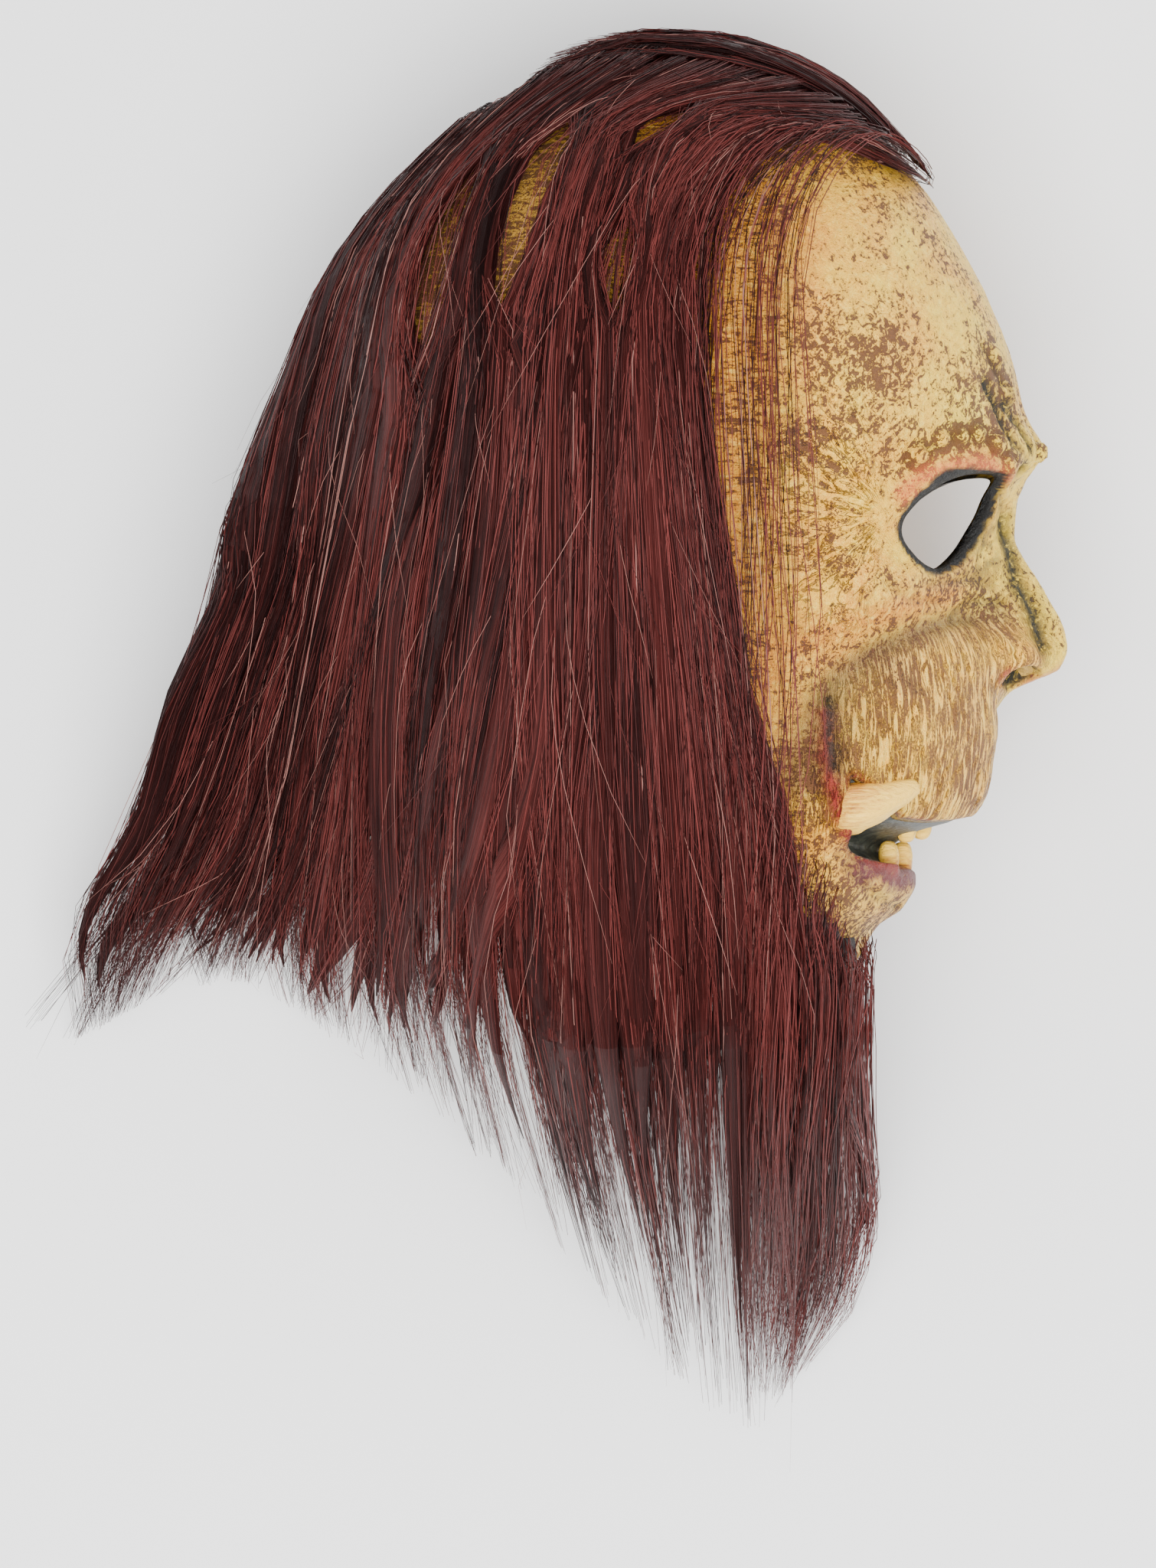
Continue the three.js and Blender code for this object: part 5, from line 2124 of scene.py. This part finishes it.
    @staticmethod
    def mouth() -> bpy.types.Material:
        """The inside of the mouth: dark grey-green.

        Returns:
            The material.
        """
        g = Graph("mouth_lining")
        x, y, z = g.place()
        grain = g.noise(x * 0.3, y * 0.3, z * 0.3, 5)
        dark, grey_green = paint("1d201c"), paint("3d4036")
        colour = g.mix(g.step(grain, 0.35, 0.7), dark, grey_green)
        return g.finish(Base_Color=colour, Roughness=0.5, Normal=g.bump(grain, 0.001))

    @staticmethod
    def hair_shade_body() -> bpy.types.Material:
        """The inner body of the hair, near black as painted shade deep in the hair, fibred along
        the locks.

        Returns:
            The material.
        """
        g = Graph("hair_inner_shade")
        x, y, z = g.place()
        fibre = g.noise(x * 1.3, y * 0.03, z * 1.3, 3)
        black, burgundy = paint("0d0404"), paint("220c0b")
        colour = g.mix(g.step(fibre, 0.35, 0.65), black, burgundy)
        return g.finish(
            Base_Color=colour, Roughness=0.65, Specular_IOR_Level=0.2, Normal=g.bump(fibre, 0.002)
        )

    @staticmethod
    def locks() -> bpy.types.Material:
        """Combed synthetic hair: burgundy brown fibres run along each lock from root to tip.

        The fibres are noise drawn out along the lock, and their height tilts the surface. The near
        black between the fibres is partly painted shade, the near black towards the root is painted
        shade, and the paler streaks on the fibres are a painted sheen.

        Returns:
            The material.
        """
        g = Graph("hair_locks")
        tone, along, turn = g.attribute("tone"), g.attribute("along"), g.attribute("round")
        fibre = g.noise(turn * 40.0 + tone * 57.0, along * 6.0, tone * 13.0, 4, 0.72, 0.4)
        streak = g.noise(turn * 5.0 + tone * 31.0, along * 3.0, tone * 7.0, 1)
        shade = (fibre - 0.5) * 1.5 + (streak - 0.5) * 0.6 + tone * 0.3
        black, burgundy, painted_sheen = paint("0a0202"), paint("3f1715"), paint("643431")
        tip, root = paint("54201d"), paint("140505")
        # Black between the fibres, burgundy on them: partly painted shade between the fibres.
        colour = g.mix(g.step(shade, -0.1, 0.55), black, burgundy)
        # Paler streaks along the fibres: a painted sheen.
        colour = g.mix(g.step(fibre + tone * 0.1, 0.58, 0.75) * 0.4, colour, painted_sheen)
        colour = g.mix(g.step(along, 0.55, 1.0) * 0.12, colour, tip)
        # Near black towards the root: painted shade at the roots.
        colour = g.mix((1.0 - g.step(along, 0.04, 0.34)) * 0.75, colour, root)
        return g.finish(
            Base_Color=colour,
            Roughness=0.5,
            Specular_IOR_Level=0.18,
            Specular_Tint=paint("e0a8a8"),
            Normal=g.bump(fibre, 0.0012),
        )

    @staticmethod
    def hair() -> bpy.types.Material:
        """Single synthetic hairs: burgundy brown, each of its own tone, redder at its tip.

        Near black towards the root as painted shade; the pale hairs are partly painted highlights.

        Returns:
            The material.
        """
        g = Graph("hair_strands")
        tone, along = g.attribute("tone"), g.attribute("along")
        black, burgundy, light = paint("0d0303"), paint("652e2b"), paint("8c6058")
        tip, root = paint("6a2824"), paint("180707")
        colour = g.mix(g.step(tone, 0.1, 1.0), black, burgundy)
        colour = g.mix(g.step(along, 0.6, 1.0) * 0.12, colour, tip)
        # Near black towards the root: painted shade at the roots.
        colour = g.mix((1.0 - g.step(along, 0.06, 0.36)) * 0.6, colour, root)
        # Pale hairs: partly painted highlights.
        colour = g.mix(g.step(tone, 1.0, 1.2), colour, light)
        return g.finish(
            Base_Color=colour,
            Roughness=0.42,
            Specular_IOR_Level=0.3,
            Specular_Tint=paint("e6b4b4"),
        )

    @staticmethod
    def floor() -> bpy.types.Material:
        """A pale matt floor."""
        return Graph("pale_floor").finish(Base_Color=paint("eeeeee"), Roughness=0.9)


# Stage


class Studio:
    """Floor, lights and camera."""

    VIEW_CENTRE = (7.8, -10.8)
    VIEW_HEIGHT = 491.5
    CAMERA_FAR = 5000.0
    SENSOR = 36.0
    CLIP_END = 50
    FLOOR_HALF = 4.0
    FLOOR_DROP = 0.0004
    AIM = (0.0, 0.0, 0.08)
    # Name, place in metres, side in metres, watts
    LIGHTS = (
        ("key", (1.3, 0.9, 1.5), 1.0, 190),
        ("fill", (-1.4, 0.3, 1.3), 1.3, 60),
        ("top", (0.1, -0.5, 2.2), 1.6, 110),
    )
    WORLD_STRENGTH = 1.7

    @classmethod
    def floor(cls) -> None:
        """A wide floor under the mask."""
        signs = ((-1, -1), (1, -1), (1, 1), (-1, 1))
        mesh = bpy.data.meshes.new("floor")
        corners = [(i * cls.FLOOR_HALF, j * cls.FLOOR_HALF, 0) for i, j in signs]
        mesh.from_pydata(corners, [], [(0, 1, 2, 3)])
        mesh.materials.append(Finishes.floor())
        made = bpy.data.objects.new("floor", mesh)
        made.location.z = -cls.FLOOR_DROP
        bpy.context.scene.collection.objects.link(made)

    @classmethod
    def light(cls, name: str, place: Sequence[float], size: float, power: float) -> None:
        """A soft white box aimed at the middle of the mask.

        Args:
            name: its name.
            place: where it hangs, in metres.
            size: its side in metres.
            power: its power in watts.
        """
        data = bpy.data.lights.new(name, "AREA")
        data.size, data.energy = size, power
        made = bpy.data.objects.new(name, data)
        made.location = place
        aim = np.array(cls.AIM) - np.array(place)
        tilt = math.atan2(math.hypot(aim[0], aim[1]), -aim[2])
        made.rotation_euler = (tilt, 0.0, math.atan2(aim[0], -aim[1]))
        bpy.context.scene.collection.objects.link(made)

    @classmethod
    def camera(cls) -> None:
        """A long lens straight over the mask, its top towards the crown."""
        data = bpy.data.cameras.new("camera")
        data.sensor_width = cls.SENSOR
        data.lens = cls.SENSOR * (cls.CAMERA_FAR - HEAD_AT[2]) / cls.VIEW_HEIGHT
        data.clip_end = cls.CLIP_END
        made = bpy.data.objects.new("camera", data)
        made.location = [size * MM for size in (*cls.VIEW_CENTRE, cls.CAMERA_FAR)]
        bpy.context.scene.collection.objects.link(made)
        bpy.context.scene.camera = made

    @classmethod
    def build(cls) -> None:
        """Sets the stage."""
        cls.camera()
        cls.floor()
        for light in cls.LIGHTS:
            cls.light(*light)
        world = bpy.data.worlds.new("studio")
        world.use_nodes = True
        backdrop = world.node_tree.nodes["Background"]
        backdrop.inputs["Color"].default_value = paint("f4f4f4")
        backdrop.inputs["Strength"].default_value = cls.WORLD_STRENGTH
        bpy.context.scene.world = world


class Hair:
    """All the hair: for each side and the beard a near-black body, painted shade deep in the hair,
    locks and single hairs.
    """

    QUICK_SHARE = 6
    QUICK_LEAST = 2

    def __init__(self) -> None:
        """Makes the finishes and the sheets."""
        self.inner, self.lock = Finishes.hair_shade_body(), Finishes.locks()
        self.strand = Finishes.hair()
        self.right, self.left = HairSheet(Flow.TAUT), HairSheet(Flow.FALLEN)
        self.chin, self.crown = HairSheet(Flow.ROUND_CHIN), HairSheet(Flow.OVER_CROWN)

    def _group(self, name: str, locks: Locks) -> None:
        """Dresses one group of locks.

        Args:
            name: the name of its pieces.
            locks: the locks.
        """
        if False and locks.hairs > 1:
            locks.hairs = max(locks.hairs // self.QUICK_SHARE, self.QUICK_LEAST)
        if locks.hairs > 1 and locks.core:
            locks.bodies().piece(name + "_locks", self.lock, Slot.HAIR)
        locks.strands().piece(name + "_hairs", self.strand, Slot.HAIR)

    def build(self) -> None:
        """Dresses the three heads of hair."""
        right, left, chin, crown = self.right, self.left, self.chin, self.crown
        for name, sheet, span, locks in (
            ("hair_right", right, (0.48, 0.78), 26),
            ("hair_left", left, (0.3, 0.7), 20),
            ("beard", chin, (0.3, 0.56), 18),
        ):
            mesh = sheet.mass(*span, locks)
            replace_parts(mesh.piece(name + "_inner", self.inner, Slot.HAIR), name)
        groups = {
            "hair_right_under": Locks(right, 42, 5, SEED, (0.1, 0.35), 6.5),
            "hair_right_middle": Locks(right, 50, 20, SEED + 1, (0.3, 0.65), 4.6, segments=11),
            "hair_right_outer": Locks(
                right, 58, 34, SEED + 2, (0.55, 1.0), 3.8, 1.3, roots=(-0.03, 1.0), segments=11
            ),
            "hair_right_low": Locks(
                right, 52, 22, SEED + 9, (0.15, 0.8), 4.4, 4.0,
                roots=(0.08, 1.0), starts=(0.42, 0.66), scatter=1.9, segments=7,
            ),
            "hair_right_long": Locks(
                right, 18, 28, SEED + 10, (0.1, 0.6), 4.0, 2.5,
                roots=(0.66, 1.0), starts=(0.58, 0.8), scatter=1.5, segments=7,
            ),
            "hair_right_front": Locks(
                right, 13, 24, SEED + 3, (0.3, 0.8), 3.0, 3.5,
                roots=(0.86, 1.0), stray=16.0, core=0.0,
            ),
            "wisps": Locks(
                right, 150, 1, SEED + 4, (0.5, 1.0),
                roots=(0.88, 1.0), stray=40.0, light=0.06, segments=14,
            ),
            "fly_away": Locks(
                right, 440, 1, SEED + 5, (0.9, 1.1),
                lift=6.0, lean=15.0, short=0.13, thickness=0.08, light=0.3, segments=6,
            ),
            "hair_left": Locks(left, 28, 12, SEED + 6, (0.2, 0.7), 5.0, roots=(-0.04, 1.0)),
            "hair_crown": Locks(crown, 28, 22, SEED + 8, (0.2, 0.75), 2.8, rooted=0.2),
            "beard": Locks(
                chin, 46, 16, SEED + 7, (0.0, 1.0), 1.7, 2.6,
                stray=5.0, scatter=1.7, core=0.3, segments=11,
            ),
        }  # fmt: skip
        for name, locks in groups.items():
            self._group(name, locks)


def main() -> None:
    """Builds the mask, its stage and its camera."""
    logging.basicConfig(level=logging.INFO, format="%(message)s")
    Studio.build()
    latex = LatexShell().mesh().piece("latex_mask_skin", Finishes.latex(), Slot.LATEX)
    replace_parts(latex, "latex_mask")
    Teeth.all_teeth().piece("teeth_and_tusks", Finishes.teeth(), Slot.LATEX)
    Teeth.lining().piece("mouth_lining", Finishes.mouth(), Slot.LATEX)
    Hair().build()


if __name__ == "__main__":
    main()
